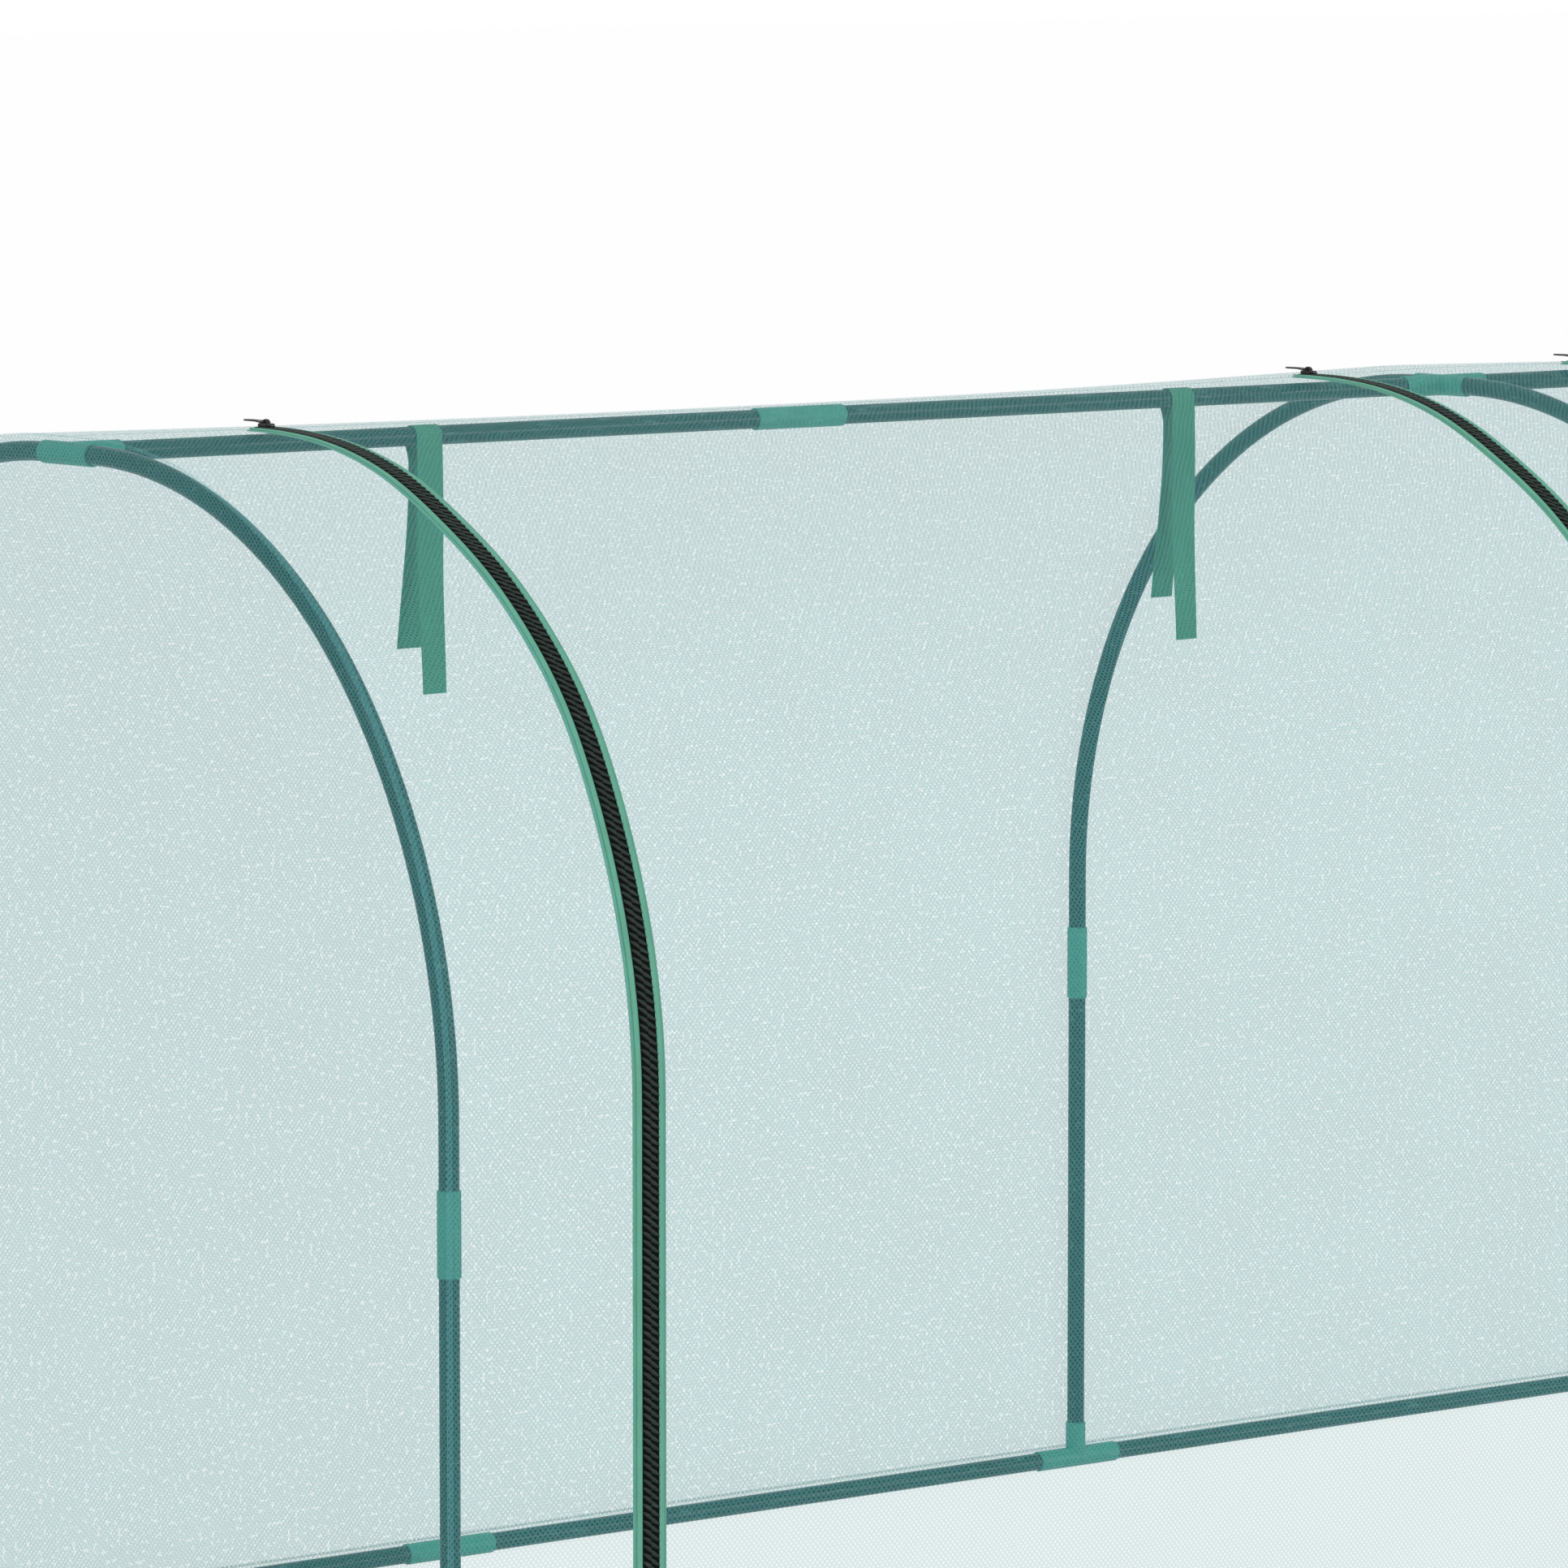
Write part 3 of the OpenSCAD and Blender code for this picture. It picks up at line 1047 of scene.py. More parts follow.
@dataclass(frozen=True)
class Cage:
    """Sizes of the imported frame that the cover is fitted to, and how the cover lies on it.

    A lift is how far the cover lies outside the tubes' centres. Between the hoops it sags at
    the crown, lies hollow below it and stands out at the shoulder.
    """

    hoops: tuple[float, ...]
    half_width: float
    ridge_z: float
    end_x: float
    hoop: HoopLine
    side_lift: float = 0.0108
    crown_lift: float = 0.0030
    middle_rise: Swell = Swell(0.0020, 0.0, 0.30)
    hollow: Swell = Swell(0.0029, 0.265, 0.065)
    shoulder: Swell = Swell(0.0036, 0.47, 0.075)
    side_fullness: float = 0.0009
    side_sag: float = 0.0012
    crown_sag: float = 0.0029
    beside_ridge_sag: float = 0.0024

    @classmethod
    def measure(cls, bow_tail: float = 0.084) -> "Cage":
        """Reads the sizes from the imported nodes.

        Args:
            bow_tail: How far a bow runs straight down before it meets the leg's sleeve.

        Returns:
            The sizes.
        """
        ridge_z = middle_of("ridge_left").z
        half_width = -middle_of("rail_front").y
        spring_z = middle_of("leg_sleeves").z + bow_tail
        return cls(
            hoops=tuple(middle_of(f"leg_front_{n}").x for n in (1, 2, 3)),
            half_width=half_width,
            ridge_z=ridge_z,
            end_x=middle_of("net_end_right").x,
            hoop=HoopLine(half_width, ridge_z, spring_z),
        )

    def lift(self, x: np.ndarray, place: np.ndarray) -> np.ndarray:
        """Finds the cover's lift.

        Args:
            x: Places along the ridge.
            place: Lengths down the side from the middle of the ridge.

        Returns:
            The lifts.
        """
        half_bay = (self.hoops[1] - self.hoops[0]) / 2
        apart = np.min([np.abs(x - hoop) for hoop in self.hoops], axis=0)
        slack = 1 - (1 - np.clip(apart / half_bay, 0, 1)) ** 2
        free = smooth_step(apart, 0.02, 0.15)
        crown = 1 - smooth_step(np.abs(place), 0.35, 0.85)
        beside_ridge = smooth_step(np.abs(place), 0.008, 0.070) * crown
        sag = self.side_sag + self.crown_sag * crown + self.beside_ridge_sag * beside_ridge
        full = self.shoulder.at(place) + self.side_fullness * smooth_step(place, 0.4, 0.6)
        high = self.side_lift + self.crown_lift * crown + self.middle_rise.at(x) * crown
        return high - slack * sag + free * (full - self.hollow.at(place))

    def cover_at(
        self, x: np.ndarray, place: np.ndarray, side: Side, extra: np.ndarray | float = 0.0
    ) -> tuple[np.ndarray, np.ndarray]:
        """Finds points on the cover and the way out there.

        Args:
            x: Places along the ridge.
            place: Lengths down the side from the middle of the ridge.
            side: Side of the tunnel.
            extra: Distance outside the cover's middle.

        Returns:
            Points and directions, each with its X, Y and Z.
        """
        yz, way = self.hoop.at(place, self.lift(x, place) + extra, side)
        points = np.concatenate([x[..., None], yz], -1)
        return points, np.concatenate([np.zeros_like(x)[..., None], way], -1)

    def line_down(
        self, x: float, start: float, stop: float, extra: float = 0.0, step: float = 0.012
    ) -> Line:
        """Draws a line down the front of the cover at one place along the ridge.

        Args:
            x: Place along the ridge.
            start: Where the line starts, from the middle of the ridge.
            stop: Where it stops.
            extra: Distance outside the cover's middle.
            step: Usual distance between its points.

        Returns:
            The line.
        """
        place = np.linspace(start, stop, max(2, round(abs(stop - start) / step) + 1))
        points, out = self.cover_at(np.full_like(place, x), place, Side.FRONT, extra)
        return Line(points, out, place)


# ---- Cover ----

NET_THICKNESS = 0.0005
HEM_HEIGHT = 0.0200
HEM_TURN = 0.0026
HEM_INSET = 0.0007
GROUND_GAP = 0.0008
HEM_STITCH = stitch_shape(0.0030, 0.0005, 0.0004)
HEM_STITCH_SPACING = 0.0042


def hemmed_net(
    node: str, net: Patch, hem: Patch, foot: np.ndarray, across_z: int, finish: Finish
) -> list[bpy.types.Object]:
    """Makes a panel of net with its hem and its hem's stitches.

    Args:
        node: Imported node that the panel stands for.
        net: Middle surface of the panel.
        hem: Middle surface of the hem.
        foot: Line of the stitches.
        across_z: 1 or -1, so that the stitches' tops face outwards.
        finish: Finish of the panel.

    Returns:
        The panel, the hem and the row of stitches.
    """
    cloth = dress(cloth_piece(f"cloth_{node}", [net], NET_THICKNESS), finish)
    strip = dress(cloth_piece(f"hem_{node}", [hem], NET_THICKNESS), NET_CLOTH)
    across = (0.0, 0.0, float(across_z))
    name = f"hem_stitches_{node}"
    row = Run(HEM_STITCH_SPACING).make(name, [foot], HEM_STITCH, across, HEM_THREAD, "net")
    return [cloth, strip, row]


@dataclass
class NetPanel:
    """Panel of net along one side, stretched over the hoops and hemmed at the ground."""

    cage: Cage
    node: str
    side: Side
    start_x: float
    stop_x: float
    sewn: tuple[bool, bool]
    rests_on: tuple[str, ...]
    step: float = 0.015
    gather: float = 0.00035
    gather_reach: float = 0.045
    stitch_margin: float = 0.004

    def spread(self, start: float, stop: float) -> np.ndarray:
        """Places from start to stop, about a step apart."""
        return np.linspace(start, stop, max(2, round((stop - start) / self.step) + 1))

    def patch(self, top: float, bottom: float, inset: float = 0.0) -> Patch:
        """Cuts the part of the panel between two places down the side.

        Args:
            top: Where the part starts, from the middle of the ridge.
            bottom: Where it stops.
            inset: Distance inside the cover's middle.

        Returns:
            The part's middle surface.
        """
        columns, rows = self.spread(self.start_x, self.stop_x), self.spread(top, bottom)
        x, place = np.meshgrid(columns, rows, indexing="ij")
        points, out = self.cage.cover_at(x, place, self.side, self.pucker(x, place) - inset)
        return Patch(points, out, np.stack([x, place * self.side.value], -1))

    def pucker(self, x: np.ndarray, place: np.ndarray) -> np.ndarray:
        """Finds the small gathers beside a sewn edge, which die away into the panel.

        Args:
            x: Places along the ridge.
            place: Lengths down the side from the middle of the ridge.

        Returns:
            How far the gathers stand out.
        """
        total = np.zeros_like(x)
        edges = ((self.start_x, self.sewn[0], 0.3), (self.stop_x, self.sewn[1], 2.1))
        for edge, sewn, phase in edges:
            if sewn:
                apart = np.abs(x - edge)
                wave = np.sin(place * 118.0 + phase) + 0.6 * np.sin(place * 71.0 + phase * 3)
                fade = np.exp(-apart / self.gather_reach) * smooth_step(apart, 0.0, 0.012)
                total += self.gather * (1 + wave / 1.6) * fade
        return total

    def build(self) -> None:
        """Makes the panel with its hem and its hem's stitches."""
        girth = self.cage.hoop.girth
        top = girth - HEM_HEIGHT
        x = np.linspace(self.start_x + self.stitch_margin, self.stop_x - self.stitch_margin, 60)
        seam = np.full_like(x, top + HEM_TURN / 2)
        foot, _ = self.cage.cover_at(x, seam, self.side, NET_THICKNESS / 2)
        cloth, *trims = hemmed_net(
            self.node,
            self.patch(0.0, top + HEM_TURN),
            self.patch(top, girth - GROUND_GAP, HEM_INSET),
            foot,
            self.side.value,
            NET_CLOTH if self.side is Side.FRONT else BACK_CLOTH,
        )
        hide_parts(self.node)


@dataclass
class EndPanel:
    """Closed end of the cover, a flat panel cut to the hoop's outline."""

    cage: Cage
    node: str
    end: End
    rests_on: tuple[str, ...]
    step: float = 0.016
    hollow: float = 0.0045
    flat_area: float = 0.967
    width_past_rails: float = 0.02
    height_past_ridge: float = 0.012
    crown_rows: int = 14
    seam_edges: tuple[float, float] = (-0.0050, 0.0003)
    seam_shift: tuple[float, float] = (0.0024, 0.0013)
    seam_height: float = 0.0005
    seam_thickness: float = 0.0004

    def heights(self, top: float, bottom: float, crown: bool) -> np.ndarray:
        """Spaces the panel's rows, closer together under the crown.

        Args:
            top: Height of the top row.
            bottom: Height of the bottom row.
            crown: Whether the top row lies at the crown.

        Returns:
            Heights of the rows.
        """
        count = max(2, round((top - bottom) / self.step) + 1)
        if crown:
            spread = np.linspace(0, 1, count + self.crown_rows)
            return bottom + (top - bottom) * (1 - (1 - spread) ** 1.7)
        return np.linspace(bottom, top, count)

    def patch(self, top_z: float | None, bottom_z: float, inset: float = 0.0) -> Patch:
        """Cuts the part of the panel between two heights.

        Args:
            top_z: Height of the part's top, or None for the crown.
            bottom_z: Height of its bottom.
            inset: Distance inside the panel's middle.

        Returns:
            The part's middle surface.
        """
        hoop = self.cage.hoop
        place = np.linspace(hoop.flat, hoop.girth, 600)
        lift = self.cage.lift(np.full_like(place, self.cage.end_x), place)
        outline, _ = hoop.at(place, lift, Side.BACK)
        crown = top_z is None
        top = float(outline[0, 1]) if crown else top_z
        heights = self.heights(top, bottom_z, crown)
        half = np.interp(heights, outline[::-1, 1], outline[::-1, 0])
        share, z = np.meshgrid(np.linspace(-1, 1, 64), heights, indexing="ij")
        y = share * half
        low, high = smooth_step(z, 0.05, 0.35), smooth_step(z, 0.75, 1.02)
        inward = self.hollow * (1 - share**2) * low * (1 - high)
        x = self.end.value * (self.cage.end_x - inward - inset)
        points = np.stack([x, y, z], -1)
        out = np.zeros_like(points)
        out[..., 0] = self.end.value
        return Patch(points, out, np.stack([y, z], -1))

    def build(self) -> None:
        """Makes the panel with its hem, its stitches and the seam round its edge."""
        y = np.linspace(-self.cage.half_width, self.cage.half_width, 40)
        x = np.full_like(y, self.end.value * (self.cage.end_x + NET_THICKNESS / 2))
        cloth, *trims = hemmed_net(
            self.node,
            self.patch(None, HEM_HEIGHT - HEM_TURN),
            self.patch(HEM_HEIGHT, GROUND_GAP, HEM_INSET),
            np.stack([x, y, np.full_like(y, HEM_HEIGHT - HEM_TURN / 2)], -1),
            -self.end.value,
            NET_CLOTH,
        )
        trims.append(self.seam())
        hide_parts(self.node)

    def seam(self) -> bpy.types.Object:
        """Makes the narrow seam that joins the panel to both sides.

        Returns:
            The seam.
        """
        edges = [self.end.value * (self.cage.end_x + out) for out in self.seam_edges]
        place = np.linspace(0.0, self.cage.hoop.girth - GROUND_GAP, 110)
        patches = []
        for side in Side:
            # The order of the edges keeps the faces turned outwards on both sides.
            x, down = np.meshgrid(np.array(edges[:: -side.value]), place, indexing="ij")
            points, out = self.cage.cover_at(x, down, side, self.seam_height)
            flat = np.stack([x, down * side.value], -1) + np.array(self.seam_shift)
            patches.append(Patch(points, out, flat))
        seam = cloth_piece(f"seam_{self.node}", patches, self.seam_thickness)
        return dress(seam, NET_CLOTH)


# ---- Zips ----

BINDING_STITCH = stitch_shape(0.0028, 0.0006, 0.0005)
CHAIN_PITCH = 0.0064
CHAIN_TURN = coil_shape(0.0083, 0.0098, CHAIN_PITCH, 0.0013)
CHAIN_TOP = 0.0027
RIDGE_TUBES = ["ridge_left", "ridge_right"]


@dataclass
class Zip:
    """Zip that runs from the ground over the front and ends just past the ridge.

    Heights are above the cover's middle.
    """

    cage: Cage
    node: str
    x: float
    half_width: float
    slider_y: float
    tape_half: float = 0.0082
    tape_bottom: float = 0.0009
    tape_top: float = 0.0014
    tape_past_slider: float = 0.0125
    binding_past_slider: float = 0.0050
    binding_over_tape: float = 0.0004
    binding_height: float = 0.0016
    binding_bottom: float = -0.0007
    selvedge_width: float = 0.0030
    selvedge_round: float = 0.0006
    stitch_inset: float = 0.0034
    stitch_spacing: float = 0.0036
    stitch_height: float = 0.0010

    def build(self) -> None:
        """Makes the tape, the chain on it, the two bindings and their stitches."""
        start = -self.slider_y - self.tape_past_slider
        bottom = self.cage.hoop.girth - GROUND_GAP
        reach, low, high = self.tape_half, self.tape_bottom, self.tape_top
        section = [(-reach, low), (-reach, high), (reach, high), (reach, low)]
        line = self.cage.line_down(self.x, start, bottom)
        tape = dress(swept_piece(f"tape_{self.node}", line, 1.0, section), ZIP_TAPE)
        trims = [self.binding(name, mirror) for name, mirror in (("left", -1), ("right", 1))]
        trims += [self.stitches(), self.chain()]
        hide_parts(self.node)

    def binding(self, name: str, mirror: int) -> bpy.types.Object:
        """Makes one binding: a folded tape with a thinner selvedge that lies on the net.

        Args:
            name: Side of the zip that it lies on.
            mirror: -1 for the left binding and 1 for the right one.

        Returns:
            The binding.
        """
        outer, inner = self.half_width, self.tape_half - self.binding_over_tape
        fold = outer - self.selvedge_width
        middle, spread = (inner + fold) / 2, (fold - inner) / 2
        section = []
        for turn in (math.pi * k / 8 for k in range(9)):
            height = 0.0004 + self.binding_height * math.sin(turn) ** 0.8
            section.append((middle - spread * math.cos(turn), height))
        section += [
            (outer - self.selvedge_round, 0.0003),
            (outer, 0.0000),
            (outer, -0.0004),
            (outer - self.selvedge_round, self.binding_bottom),
            (inner, self.binding_bottom),
        ]
        start = -self.slider_y - self.binding_past_slider
        line = self.cage.line_down(self.x, start, self.cage.hoop.girth - GROUND_GAP)
        piece = swept_piece(f"binding_{name}_{self.node}", line, float(mirror), section, 50.0)
        return dress(piece, BINDING_TAPE)

    def stitches(self) -> bpy.types.Object:
        """Makes the row of stitches along the fold of each binding.

        Returns:
            The two rows as one piece.
        """
        fold = self.half_width - self.stitch_inset
        start, stop = -self.slider_y, self.cage.hoop.girth - 0.003
        lines = [
            self.cage.line_down(self.x + mirror * fold, start, stop, self.stitch_height).points
            for mirror in (-1, 1)
        ]
        name = f"stitches_{self.node}"
        run, across = Run(self.stitch_spacing), (-1.0, 0.0, 0.0)
        return run.make(name, lines, BINDING_STITCH, across, SEWING_THREAD, "net")

    def chain(self) -> bpy.types.Object:
        """Makes the chain, whose turns slant across the zip.

        Returns:
            The chain.
        """
        stop = self.cage.hoop.girth - 0.006
        line = self.cage.line_down(self.x, -self.slider_y, stop, self.tape_top, 0.006)
        run, across = Run(CHAIN_PITCH, 0.0), (-1.0, 0.0, 0.0)
        return run.make(f"chain_{self.node}", [line.points], CHAIN_TURN, across, COIL_NYLON, "zip")


def squared(turn: float, power: float) -> tuple[float, float]:
    """Finds a point on a circle that is drawn out towards a square.

    Args:
        turn: Angle of the point.
        power: How square it is, with 2 for a circle.

    Returns:
        Its X and Y, for a radius of 1.
    """
    x, y = math.cos(turn), math.sin(turn)
    scale = (abs(x) ** power + abs(y) ** power) ** (-1 / power)
    return x * scale, y * scale


@dataclass
class SliderPull:
    """Slider at the top of a zip with its pull, which lies back over the ridge.

    Heights are above the chain, and lengths along the zip are from the slider's middle.
    """

    cage: Cage
    number: int
    x: float
    y: float
    body_length: float = 0.0150
    body_width: float = 0.0105
    body_height: float = 0.0025
    tail_share: float = 0.70
    bridge_radius: float = 0.0043
    bridge_bar: float = 0.0019
    bridge_width: float = 0.0040
    bridge_sink: float = 0.0008
    bridge_y: float = 0.0010
    pull_length: float = 0.0290
    pull_width: float = 0.0075
    pull_thickness: float = 0.0013
    pull_bar: float = 0.0017
    pull_gap: float = 0.0001
    pull_step: float = 0.0008
    pull_edge: float = 0.0003

    def body(self, base: Vector) -> bpy.types.Object:
        """Makes the slider: a plate with round shoulders and a narrow tail, and its arched bridge.

        Args:
            base: Middle of the slider's underside.

        Returns:
            The slider.
        """
        bm = bmesh.new()
        outline = []
        for turn in (2 * math.pi * k / 36 for k in range(36)):
            x, y = squared(turn, 5)
            narrow = 1 - (1 - self.tail_share) * (1 - y) / 2
            outline.append((x * self.body_width / 2 * narrow, y * self.body_length / 2))
        shares = (0.90, 0.98, 1.0, 1.0, 0.97, 0.91, 0.80)
        levels = (-0.30, -0.18, 0.05, 0.55, 0.80, 0.94, 1.0)
        rings = []
        for share, level in zip(shares, levels):
            height = level * self.body_height
            ring = [base + Vector((x * share, y * share, height)) for x, y in outline]
            rings.append([bm.verts.new(point) for point in ring])
        close_skin(bm, rings)
        rings = []
        foot = base + Vector((0, self.bridge_y, self.body_height - self.bridge_sink))
        for turn in np.linspace(0, math.pi, 19):
            way = Vector((0, -math.cos(turn), math.sin(turn)))
            ring = []
            for around in np.linspace(0, 2 * math.pi, 16, endpoint=False):
                x, y = squared(around, 3)
                out = self.bridge_radius - self.bridge_bar / 2 + y * self.bridge_bar / 2
                ring.append(foot + Vector((x * self.bridge_width / 2, 0, 0)) + way * out)
            rings.append([bm.verts.new(point) for point in ring])
        close_skin(bm, rings)
        return solid_from(bm, f"slider_{self.number}")

    def outlines(self) -> list[list[tuple[float, float]]]:
        """Draws the pull, its eye and its slit, from the outer edge of its bar.

        Returns:
            The three outlines.
        """
        half = self.pull_width / 2
        shapes = (
            (half, half * 0.9, self.pull_length - half, half),
            (0.0022, self.pull_bar + 0.0020, half + 0.0020, 0.0020),
            (0.0017, half * 3 + 0.0017, half * 3 + 0.0063, 0.0017),
        )
        rings = []
        for reach, low, high, end in shapes:
            ring = []
            for sign, start, stop, first in ((-1, high, low, 0.0), (1, low, high, math.pi)):
                for turn in np.linspace(first, first + math.pi, 11):
                    ring.append((reach * math.cos(turn), start + end * math.sin(turn)))
                ring += [(sign * reach, y) for y in np.linspace(start, stop, 12)[1:-1]]
            rings.append(ring)
        return rings

    def pull(self, base: Vector) -> bpy.types.Object:
        """Makes the pull: a flat tab that steps up a little behind its eye and lies level beyond.

        Args:
            base: Middle of the slider's underside.

        Returns:
            The pull.
        """
        bm = bmesh.new()
        level = self.body_height + self.pull_gap + self.pull_thickness / 2
        for ring in self.outlines():
            verts = []
            for x, y in ring:
                height = level + self.pull_step * float(smooth_step(y, 0.003, 0.013))
                place = Vector((x, y - self.pull_bar / 2 + self.bridge_y, height))
                verts.append(bm.verts.new(base + place))
            for first, second in zip(verts, verts[1:] + verts[:1]):
                bm.edges.new((first, second))
        bmesh.ops.triangle_fill(
            bm, use_beauty=True, use_dissolve=False, edges=bm.edges[:], normal=(0, 0, 1)
        )
        mesh = bpy.data.meshes.new(f"pull_{self.number}")
        bm.to_mesh(mesh)
        bm.free()
        tab = add_to_scene(mesh.name, mesh)
        wall = tab.modifiers.new("Thickness", "SOLIDIFY")
        wall.thickness = self.pull_thickness
        wall.offset = 0.0
        edges = tab.modifiers.new("Edges", "BEVEL")
        edges.width = self.pull_edge
        edges.segments = 2
        edges.angle_limit = math.radians(50)
        plain_mesh(tab)
        tab.data.shade_smooth()
        tab.data.set_sharp_from_angle(angle=math.radians(35))
        return tab

    def build(self) -> None:
        """Makes the slider and its pull."""
        x, place = np.array([self.x]), np.array([-self.y])
        points, _ = self.cage.cover_at(x, place, Side.FRONT, CHAIN_TOP)
        base = Vector(points[0])
        slider = dress(self.body(base), SLIDER_ENAMEL)
        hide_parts("zip_sliders")
        pull = dress(self.pull(base), SLIDER_ENAMEL)
        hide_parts("zip_pulls")


# ---- Ties ----


@dataclass
class Tie:
    """Strap over the ridge tube that holds a rolled-up door."""

    cage: Cage
    number: int
    x: float
    front_drop: float
    swing: float
    width: float = 0.0255
    back_drop: float = 0.175
    thickness: float = 0.0008
    bend_radius: float = 0.0087
    front_swing: float = 0.0062
    back_swing: float = 0.0104
    curl: float = 0.0007

    def line(self) -> np.ndarray:
        """Leads the strap up the front, over the tube and down the back.

        Returns:
            X, Y, Z and the twist at each station.
        """
        radius, top = self.bend_radius, self.cage.ridge_z
        stations = []
        for share in np.linspace(1, 0, 28):
            off = float(smooth_step(share, 0.42, 1.05)) * self.swing
            x = self.x + 0.0006 * math.sin(share * 4)
            y = -radius - self.front_swing * off - 0.0005 * math.sin(share * 7)
            stations.append((x, y, top - share * self.front_drop, 0.11 * off))
        for turn in np.linspace(math.pi, 0, 20)[1:-1]:
            over = (radius * math.cos(turn), top + radius * math.sin(turn))
            stations.append((self.x, *over, 0.0))
        for share in np.linspace(0, 1, 28):
            opened = float(smooth_step(share, 0.25, 0.95))
            twist = 0.40 * float(smooth_step(share, 0.0, 0.12)) * (1 - opened) + 0.07 * opened
            y = radius + self.back_swing * share**2.2 * self.swing
            stations.append((self.x - 0.0010 * share**2, y, top - share * self.back_drop, twist))
        return np.array(stations)

    def build(self) -> None:
        """Makes the strap as one ribbon whose tails hang free and twist a little."""
        stations = self.line()
        line, twist = stations[:, :3], stations[:, 3]
        wide = np.stack([np.cos(twist), np.sin(twist), np.zeros_like(twist)], -1)
        out = np.cross(wide, np.gradient(line, axis=0))
        out /= np.linalg.norm(out, axis=1)[:, None]
        steps = np.linalg.norm(np.diff(line, axis=0), axis=1)
        length = np.concatenate([[0], np.cumsum(steps)])
        over = length[-1] * self.front_drop / (self.front_drop + self.back_drop)
        free = smooth_step(np.abs(length - over), 0.02, 0.08)
        shares = np.linspace(-0.5, 0.5, 9)
        curl = self.curl * np.cos(shares * math.pi)[:, None] * np.sin(length * 31)[None]
        outs = np.tile(out[None], (len(shares), 1, 1))
        points = line[None] + wide[None] * (shares * self.width)[:, None, None]
        points = points + outs * (curl * free[None])[..., None]
        flat = np.stack(np.meshgrid(shares * self.width + 0.1, length, indexing="ij"), -1)
        strap = cloth_piece(f"tie_{self.number}", [Patch(points, outs, flat)], self.thickness)
        dress(strap, TIE_STRAP)
        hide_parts("roll_up_ties")


# ---- Frame ----


class FrameDress:
    """Finishes of the frame's own tubes and fittings, by how their nodes' names start."""

    FITTINGS = ("crown", "corner", "ground_tee", "leg_sleeves", "ridge_sleeves", "rail_sleeves")
    TUBES = ("bow_", "leg_", "ridge_", "rail_", "end_bar")

    def build(self) -> None:
        """Gives each node of the frame its material."""
        for name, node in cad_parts.items():
            if name.startswith(self.FITTINGS):
                finish = FITTING_PLASTIC
            elif name.startswith(self.TUBES):
                finish = TUBE_COAT
            else:
                continue
            node.data.materials.clear()
            node.data.materials.append(finish.material())
            LOG.info("%s: %s", name, finish.name)


# ---- Studio ----


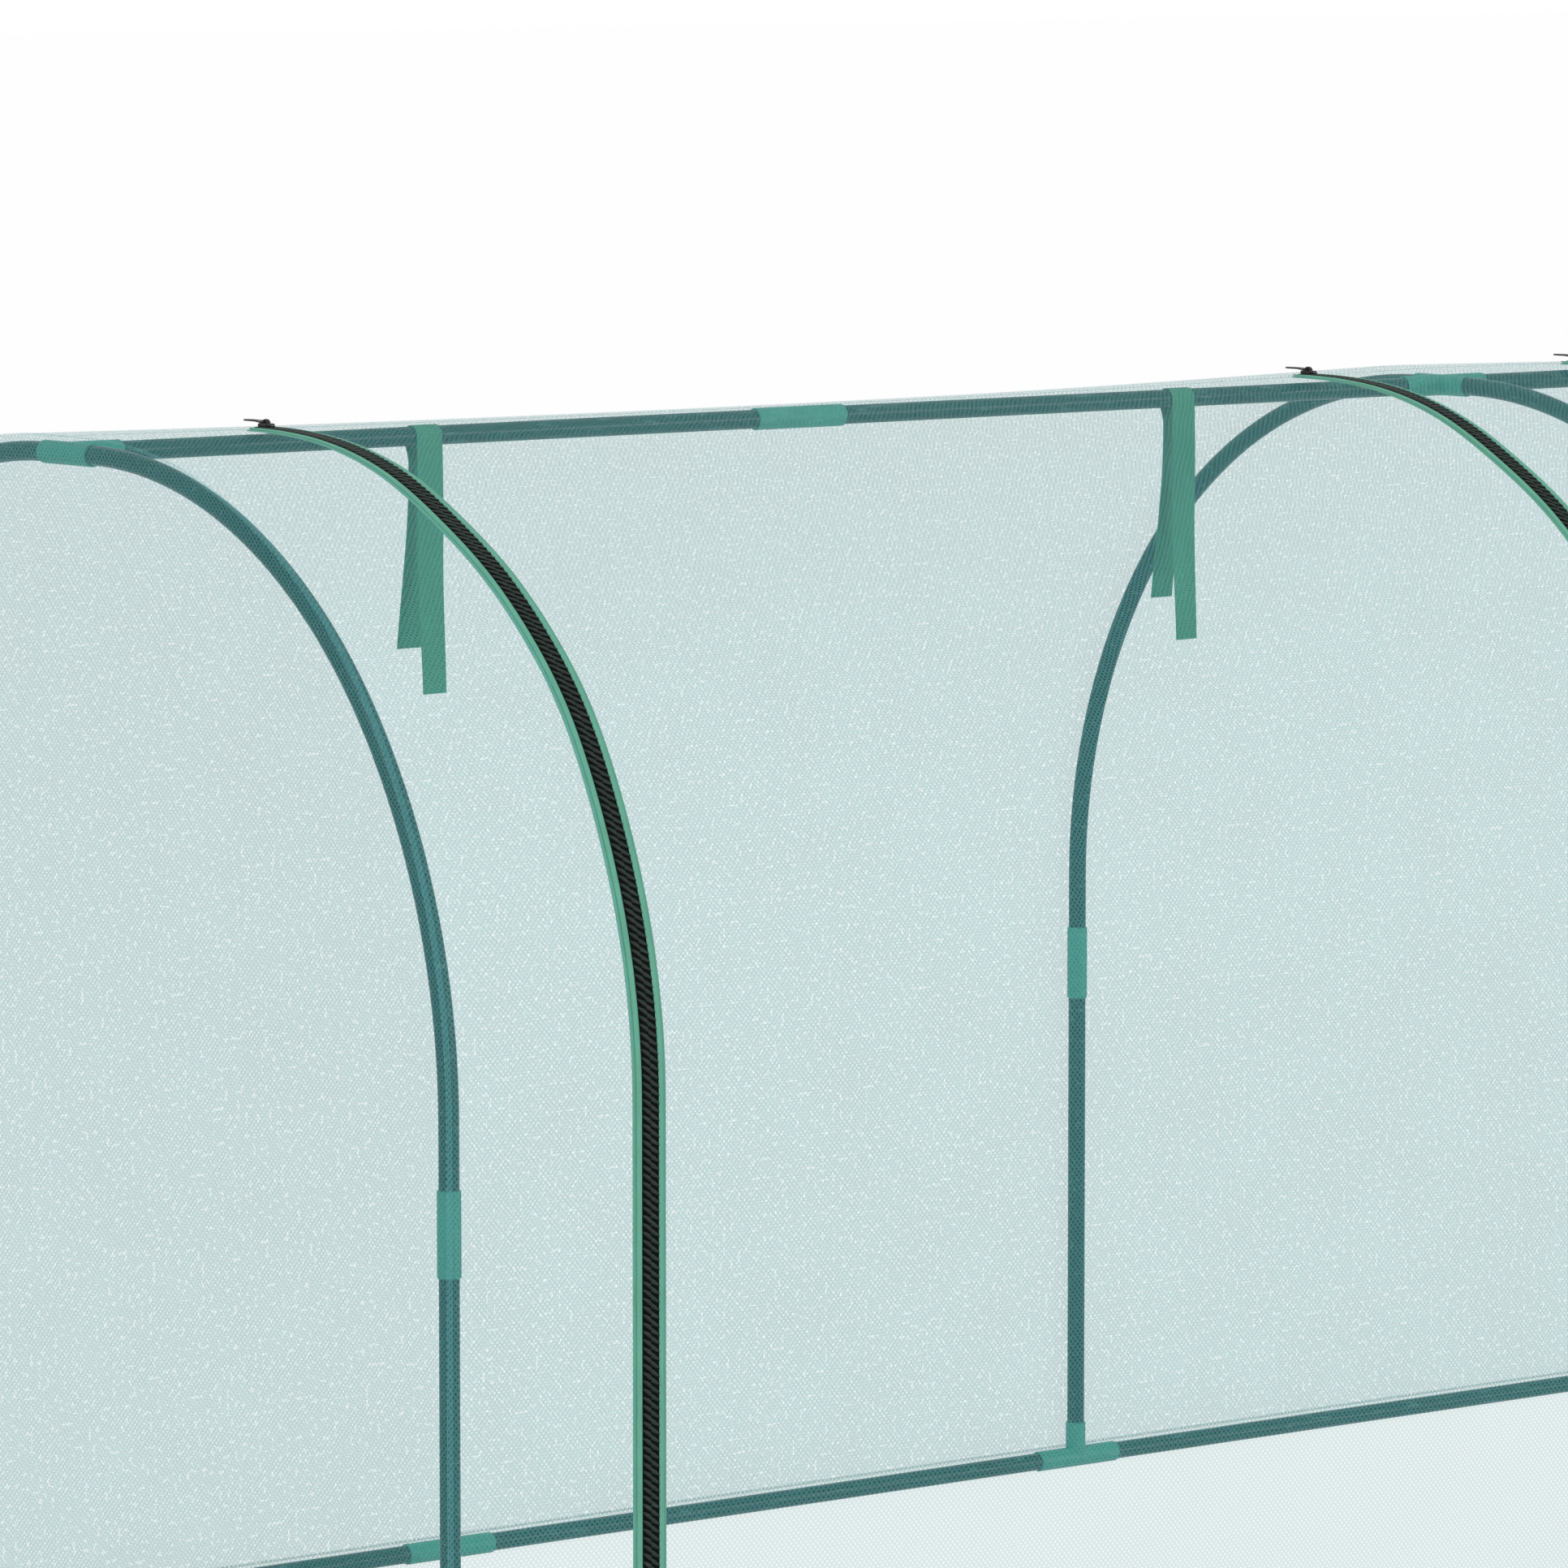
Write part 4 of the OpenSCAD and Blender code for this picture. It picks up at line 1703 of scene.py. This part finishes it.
@dataclass
class Studio:
    """Pale floor, soft light and the camera."""

    camera_place: Triple = (-5.616, -5.915, 1.5125)
    turn_degrees: float = -39.379
    down_degrees: float = 5.79
    lens: float = 209.07
    sky: float = 0.60
    key: float = 1.2
    front: float = 0.7
    floor_reach: float = 60.0
    floor_glow: float = 0.93

    def shown_white(self, wiring: Wiring) -> Socket:
        """Finds the rays that show the surroundings as such: seen, mirrored or seen through.

        Args:
            wiring: Wiring of the material or the world.

        Returns:
            1 for these rays and 0 for the rest.
        """
        path = wiring.add("ShaderNodeLightPath").outputs
        seen = wiring.math("MAXIMUM", path["Is Camera Ray"], path["Is Glossy Ray"])
        return wiring.math("MAXIMUM", seen, path["Is Transmission Ray"])

    def build(self) -> None:
        """Makes the world, the lamps, the floor and the camera."""
        scene = bpy.context.scene
        scene.view_settings.view_transform = "Standard"
        scene.world = bpy.data.worlds.new("Studio")
        wiring = Wiring.fresh(scene.world)
        strength = wiring.plus_share(self.sky, self.shown_white(wiring), 1.0 - self.sky)
        inputs = {"Color": (1, 1, 1, 1), "Strength": strength}
        light = wiring.add("ShaderNodeBackground", inputs=inputs)
        wiring.add("ShaderNodeOutputWorld", inputs={0: light.outputs[0]})
        self.lamp("Key", self.key, 25.0, (-0.85, -0.55, 0.95))
        self.lamp("Front", self.front, 12.0, (0.62, -0.77, 0.10))
        self.floor()
        self.camera()

    def lamp(self, name: str, strength: float, spread_degrees: float, way: Triple) -> None:
        """Makes a soft lamp far away.

        Args:
            name: Name of the lamp.
            strength: Its strength.
            spread_degrees: Angle that it fills in the sky.
            way: The way that it shines from.
        """
        light = bpy.data.lights.new(name, "SUN")
        light.energy = strength
        light.angle = math.radians(spread_degrees)
        lamp = add_to_scene(name, light)
        lamp.rotation_euler = Vector(way).to_track_quat("Z", "Y").to_euler()

    def floor(self) -> None:
        """Makes the floor, which keeps the cage's shadow."""
        mesh = bpy.data.meshes.new("floor")
        corners = ((-1, -1), (1, -1), (1, 1), (-1, 1))
        points = [(x * self.floor_reach, y * self.floor_reach, 0) for x, y in corners]
        mesh.from_pydata(points, [], [(0, 1, 2, 3)])
        material = bpy.data.materials.new("Studio floor")
        wiring = Wiring.fresh(material)
        matt = wiring.add("ShaderNodeBsdfDiffuse", inputs={"Color": (0.98, 0.98, 0.98, 1)})
        glow = wiring.add("ShaderNodeEmission", inputs={"Color": (1, 1, 1, 1), "Strength": 1.0})
        share = wiring.math("MULTIPLY", self.shown_white(wiring), self.floor_glow)
        inputs = {0: share, 1: matt.outputs[0], 2: glow.outputs[0]}
        mixed = wiring.add("ShaderNodeMixShader", inputs=inputs)
        wiring.add("ShaderNodeOutputMaterial", inputs={0: mixed.outputs[0]})
        mesh.materials.append(material)
        add_to_scene("floor", mesh)

    def camera(self) -> None:
        """Makes the camera."""
        data = bpy.data.cameras.new("Camera")
        data.lens = self.lens
        data.sensor_width = 36.0
        data.clip_start = 0.1
        data.clip_end = 200.0
        turn, down = math.radians(self.turn_degrees), math.radians(self.down_degrees)
        level = math.cos(down)
        look = Vector((-math.sin(turn) * level, math.cos(turn) * level, -math.sin(down)))
        camera = add_to_scene("Camera", data)
        camera.location = self.camera_place
        camera.rotation_euler = look.to_track_quat("-Z", "Y").to_euler()
        bpy.context.scene.camera = camera


# ---- The whole cage ----

SLIDER_Y = (-0.012, -0.005, -0.002, -0.008)
END_TIE_INSET = 0.3505
MIDDLE_TIE_INSET = 0.318
BINDING_LAP = 0.003


def net_panels(cage: Cage) -> list[NetPanel | EndPanel]:
    """Lists the panels, with the front's edges tucked under the zips' bindings.

    Args:
        cage: Sizes of the frame.

    Returns:
        The panels along the front, the back and the two ends.
    """
    edges = [-cage.end_x]
    for low, high in (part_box(f"zip_{n}") for n in (1, 2, 3, 4)):
        edges += [low.x + BINDING_LAP, high.x - BINDING_LAP]
    edges.append(cage.end_x)
    front = (
        ("net_corner_left", (False, True), ("bow_front_1", "leg_front_1")),
        ("door_left", (True, True), ("bow_front_1", "bow_front_2", "ridge_left")),
        ("net_middle", (True, True), ("bow_front_2", "leg_front_2")),
        ("door_right", (True, True), ("bow_front_2", "bow_front_3", "ridge_right")),
        ("net_corner_right", (True, False), ("bow_front_3", "leg_front_3")),
    )
    panels = [
        NetPanel(cage, node, Side.FRONT, start, stop, sewn, rests_on)
        for (node, sewn, rests_on), start, stop in zip(front, edges[::2], edges[1::2])
    ]
    sewn = (False, False)
    rests_on = ("bow_back_1", "bow_back_2", "bow_back_3", *RIDGE_TUBES)
    back = NetPanel(cage, "net_back", Side.BACK, edges[0], edges[-1], sewn, rests_on)
    ends = [
        EndPanel(cage, "net_end_left", End.LEFT, ("bow_front_1", "bow_back_1")),
        EndPanel(cage, "net_end_right", End.RIGHT, ("bow_front_3", "bow_back_3")),
    ]
    return [*panels, back, *ends]


def zips_and_ties(cage: Cage) -> list[Zip | SliderPull | Tie]:
    """Lists the zips, each with its slider and pull, and the ties.

    Args:
        cage: Sizes of the frame.

    Returns:
        The zips, the sliders and the ties.
    """
    pieces = []
    for number, slider_y in enumerate(SLIDER_Y, 1):
        node = f"zip_{number}"
        low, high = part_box(node)
        x = (low.x + high.x) / 2
        pieces.append(Zip(cage, node, x, (high.x - low.x) / 2, slider_y))
        pieces.append(SliderPull(cage, number, x, slider_y))
    left, middle, right = cage.hoops
    places = (
        (left + END_TIE_INSET, 1.0),
        (middle - MIDDLE_TIE_INSET, 0.9),
        (middle + MIDDLE_TIE_INSET, 1.1),
        (right - END_TIE_INSET, 0.8),
    )
    front_drop = cage.ridge_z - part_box("roll_up_ties")[0].z
    for number, (x, swing) in enumerate(places, 1):
        pieces.append(Tie(cage, number, x, front_drop, swing))
    return pieces


def main() -> None:
    """Builds the cage's looks in order."""
    logging.basicConfig(level=logging.INFO, format="%(name)s: %(message)s")
    cage = Cage.measure()
    Studio().build()
    FrameDress().build()
    for part in net_panels(cage) + zips_and_ties(cage):
        part.build()
    for pattern in (HEM_STITCH, BINDING_STITCH, CHAIN_TURN):
        bpy.data.objects.remove(pattern)


if __name__ == "__main__":
    main()
